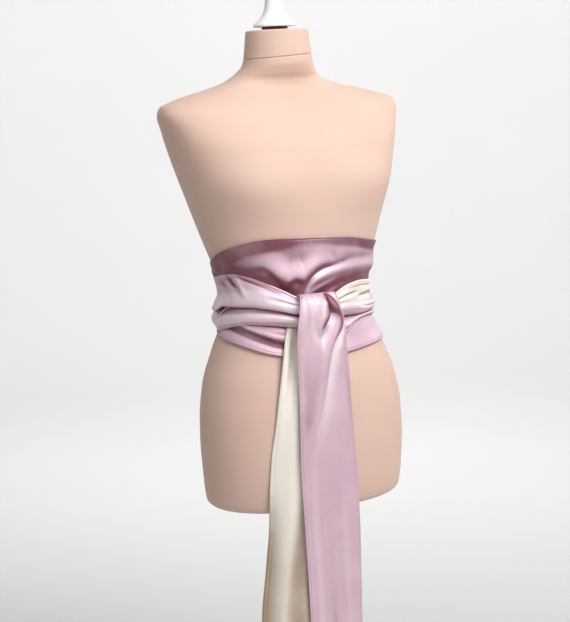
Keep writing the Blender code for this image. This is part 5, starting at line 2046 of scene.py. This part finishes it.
@dataclass
class BackTail(Tail):
    """Tail that leaves the knot below and follows the hip, cream reverse out."""

    hip_half_width: float = 159.0
    hip_depth: float = 115.0
    hip_squareness: float = 2.15
    pleat_length: float = 27.0
    # Painted shade on the lower part, more on the edge that turns away, and how much the creases'
    # painted shading is evened out there
    turned_share: float = 0.25
    low_painted_shade: float = 0.75
    low_edge_painted_shade: float = 0.45
    low_evened: float = 0.7
    creases: Creases = field(default_factory=lambda: Creases(BACK_TAIL_CREASES, (1.0, 1.0)))

    def hip_sag(self, x: np.ndarray) -> np.ndarray:
        """How far the front of the hips falls back at a distance from the middle."""
        share = np.clip(1 - np.abs(x / self.hip_half_width) ** self.hip_squareness, 0.0, 1.0)
        return self.hip_depth * (1 - share ** (1 / self.hip_squareness))

    def build(self) -> None:
        """Builds the tail."""
        row, share, x, height, seam = self.lay_out(BACK_TAIL_ROWS)
        below_form = 1 - 0.45 * soft_step(-height, -740.0, -560.0)
        turned = np.clip(1 - share / self.turned_share, 0.0, 1.0)
        pleat = row["pleat"] * np.cos((x - row["left"]) * 2 * math.pi / self.pleat_length)
        front = row["front"] - self.hip_sag(x) * below_form + pleat - row["turn_away"] * turned**2
        creased = self.creases.relief(x, height)
        slack = 0.35 * unevenness(x, height, (40.0, 140.0), 31)
        relief = creased + slack + sewn_edge(seam, height, 33)
        points = np.stack([x, -(front + relief), height], axis=-1)
        points = np.transpose(points[::-1], (1, 0, 2))
        # Painted shade and highlight from the creases, evened out on the lower part, which is painted
        # deeper, most on the edge that turns away
        low = soft_step(-height, -860.0, -640.0)
        painted_shading = creased / self.crease_painted_shading_scale * (1 - self.low_evened * low)
        painted_shading = painted_shading - low * (self.low_painted_shade + self.low_edge_painted_shade * turned**2)
        grid = ClothGrid(points, seam[::-1].T, painted_shading[::-1].T)
        cream, pink = self.finishes.cream, self.finishes.pink
        piece = cloth_shell("sash_tail_back_cloth", grid, self.wall, cream, pink)
        settle(piece, "cream_satin", "sash_tail_back")
        grid.log_size(piece.name)


@dataclass(frozen=True)
class SoftLight:
    """A soft rectangular light, in metres and watts."""

    place: Colour
    target: Colour
    size: tuple[float, float]
    power: float
    colour: Colour = (1.0, 1.0, 1.0)


WAIST = (0.0, 0.0, 1.08)
STUDIO_LIGHTS = {
    "key": SoftLight((0.38, -2.02, 2.64), WAIST, (1.5, 1.3), 70.0, (1.0, 0.985, 0.97)),
    "top": SoftLight((-0.19, -0.41, 3.58), WAIST, (1.5, 1.5), 16.0),
    "right_rim": SoftLight((2.31, 0.41, 1.94), WAIST, (1.3, 1.3), 14.0),
    "left_fill": SoftLight((-2.3, -0.6, 1.9), WAIST, (1.3, 1.3), 5.0, (1.0, 0.97, 0.94)),
    "wall_wash": SoftLight((0.9, 1.6, 3.6), (3.0, 6.2, 2.7), (2.2, 2.2), 185.0),
}


@dataclass
class Studio:
    """Pale floor and wall in one sweep, the soft lights and the camera."""

    floor_radius: float = 6.5
    corner_radius: float = 2.0
    wall_height: float = 6.5
    sides: int = 96
    air_strength: float = 0.2
    lens: float = 90.46
    azimuth: float = -25.0
    distance: float = 2.344
    eye_height: float = 1.375
    yaw: float = -0.30
    pitch: float = 8.4
    roll: float = -2.58
    far_end: float = 60.0
    below_floor: float = 0.0005

    def build(self) -> None:
        """Builds the studio."""
        self.sweep()
        for name, lamp in STUDIO_LIGHTS.items():
            self.light(name, lamp)
        world = bpy.data.worlds.new("studio_air")
        world.use_nodes = True
        air = world.node_tree.nodes["Background"]
        air.inputs["Color"].default_value = (1.0, 0.995, 0.985, 1.0)
        air.inputs["Strength"].default_value = self.air_strength
        bpy.context.scene.world = world
        bpy.context.scene.view_settings.view_transform = "Standard"
        self.camera()

    def sweep(self) -> None:
        """Builds the floor that curves up into a wall all round."""
        rounds = np.linspace(0.0, math.pi / 2, 16)
        start = self.floor_radius - self.corner_radius
        corner = [
            (start + self.corner_radius * math.sin(a), self.corner_radius * (1 - math.cos(a)))
            for a in rounds
        ]
        outline = np.array([(0.4, 0.0), (2.0, 0.0), *corner, (self.floor_radius, self.wall_height)])
        angles = np.arange(self.sides) * 2 * math.pi / self.sides
        rings = np.stack(
            [
                outline[:, :1] * np.cos(angles),
                outline[:, :1] * np.sin(angles),
                outline[:, 1:] + 0.0 * angles - self.below_floor,
            ],
            axis=-1,
        )
        step = np.arange(self.sides)
        after = (step + 1) % self.sides
        faces = [step.tolist()]
        for level in range(len(outline) - 1):
            low = level * self.sides
            high = low + self.sides
            faces += np.stack([low + step, high + step, high + after, low + after], axis=-1).tolist()
        mesh = smooth_mesh("studio_sweep", rings.reshape(-1, 3), faces, StudioFinish().build())
        linked("studio_sweep", mesh)

    def light(self, name: str, lamp: SoftLight) -> None:
        """Adds a soft light.

        Args:
            name: Its name.
            lamp: Its place, size and power.
        """
        data = bpy.data.lights.new(name, "AREA")
        data.shape = "RECTANGLE"
        data.size, data.size_y = lamp.size
        data.energy = lamp.power
        data.color = lamp.colour
        made = linked(name, data)
        made.location = lamp.place
        made.visible_camera = False
        aim = Vector(lamp.target) - made.location
        made.rotation_euler = aim.to_track_quat("-Z", "Y").to_euler()

    def camera(self) -> None:
        """Adds the camera in the photograph's place."""
        azimuth, yaw, pitch, roll = (
            math.radians(angle) for angle in (self.azimuth, self.yaw, self.pitch, self.roll)
        )
        ahead = np.array([-math.sin(azimuth), math.cos(azimuth), 0.0])
        beside = np.array([math.cos(azimuth), math.sin(azimuth), 0.0])
        level = math.cos(yaw) * ahead + math.sin(yaw) * beside
        right = math.cos(yaw) * beside - math.sin(yaw) * ahead
        forward = math.cos(pitch) * level - math.sin(pitch) * np.array([0.0, 0.0, 1.0])
        up = np.cross(right, forward)
        tipped_right = math.cos(roll) * right + math.sin(roll) * up
        tipped_up = math.cos(roll) * up - math.sin(roll) * right
        place = (self.distance * math.sin(azimuth), -self.distance * math.cos(azimuth), self.eye_height)
        data = bpy.data.cameras.new("view_camera")
        data.lens = self.lens
        data.clip_end = self.far_end
        made = linked("view_camera", data)
        matrix = np.eye(4)
        matrix[:3] = np.stack([tipped_right, tipped_up, -forward, place], axis=-1)
        made.matrix_world = Matrix(matrix.tolist())
        bpy.context.scene.camera = made


def main() -> None:
    """Builds the form, the sash and the studio."""
    Studio().build()
    finishes = Finishes.make()
    shape = FormShape()
    FormBody(shape, finishes).build()
    NeckCap(finishes).build()
    Stand(finishes).build()

    layers = HeightMap((0.0, 940.0), (361.0, 1160.0), (1.0, 1.6))
    fronts = HeightMap((-80.0, 990.0), (60.0, 1080.0), (1.5, 1.5))
    FrontPanel(shape, finishes).build(layers)
    layers.soften(1, 2)

    right_tie = WornTie(
        name="sash_tie_right_side_cloth",
        node="sash_tie_right_side",
        folds=RIGHT_TIE_FOLDS,
        lifts=RIGHT_TIE_LIFTS,
        painted_fold_shading=RIGHT_TIE_PAINTED_SHADING,
        creases=Creases(RIGHT_TIE_CREASES, (TIE_DEGREE, 10.0)),
        shape=shape,
        face=finishes.pink,
        reverse=finishes.cream,
        slot="pink_satin",
        seed=41,
        flat=(0.11, 0.42),
        cut_area=0.0311,
        rests_on=("sash_panel_cloth",),
    )
    reverse = WornTie(
        name="sash_tie_left_reverse_cloth",
        node="sash_tie_left_reverse",
        folds=REVERSE_FOLDS,
        lifts=REVERSE_LIFTS,
        painted_fold_shading=REVERSE_PAINTED_SHADING,
        creases=Creases(REVERSE_CREASES, (TIE_DEGREE, 7.0)),
        shape=shape,
        face=finishes.cream,
        reverse=finishes.pink,
        slot="cream_satin",
        seed=51,
        flat=(0.045, 0.195),
        cut_area=0.0067,
        rests_on=("sash_panel_cloth",),
    )
    left_tie = WornTie(
        name="sash_tie_left_side_cloth",
        node="sash_tie_left_side",
        folds=LEFT_TIE_FOLDS,
        lifts=LEFT_TIE_LIFTS,
        painted_fold_shading=LEFT_TIE_PAINTED_SHADING,
        creases=Creases(LEFT_TIE_CREASES, (TIE_DEGREE, 7.0)),
        shape=shape,
        face=finishes.pink,
        reverse=finishes.cream,
        slot="pink_satin",
        seed=61,
        flat=(0.065, 0.425),
        cut_area=0.0171,
        rests_on=("sash_panel_cloth", "sash_tie_left_reverse_cloth"),
    )
    for tie in (right_tie, reverse, left_tie):
        tie.build(layers, fronts)
        layers.soften(1, 1)
    KnotCore(finishes).build(fronts)
    fronts.soften(1, 1)
    FrontTail(finishes).build(fronts)
    BackTail(finishes).build()


if __name__ == "__main__":
    main()
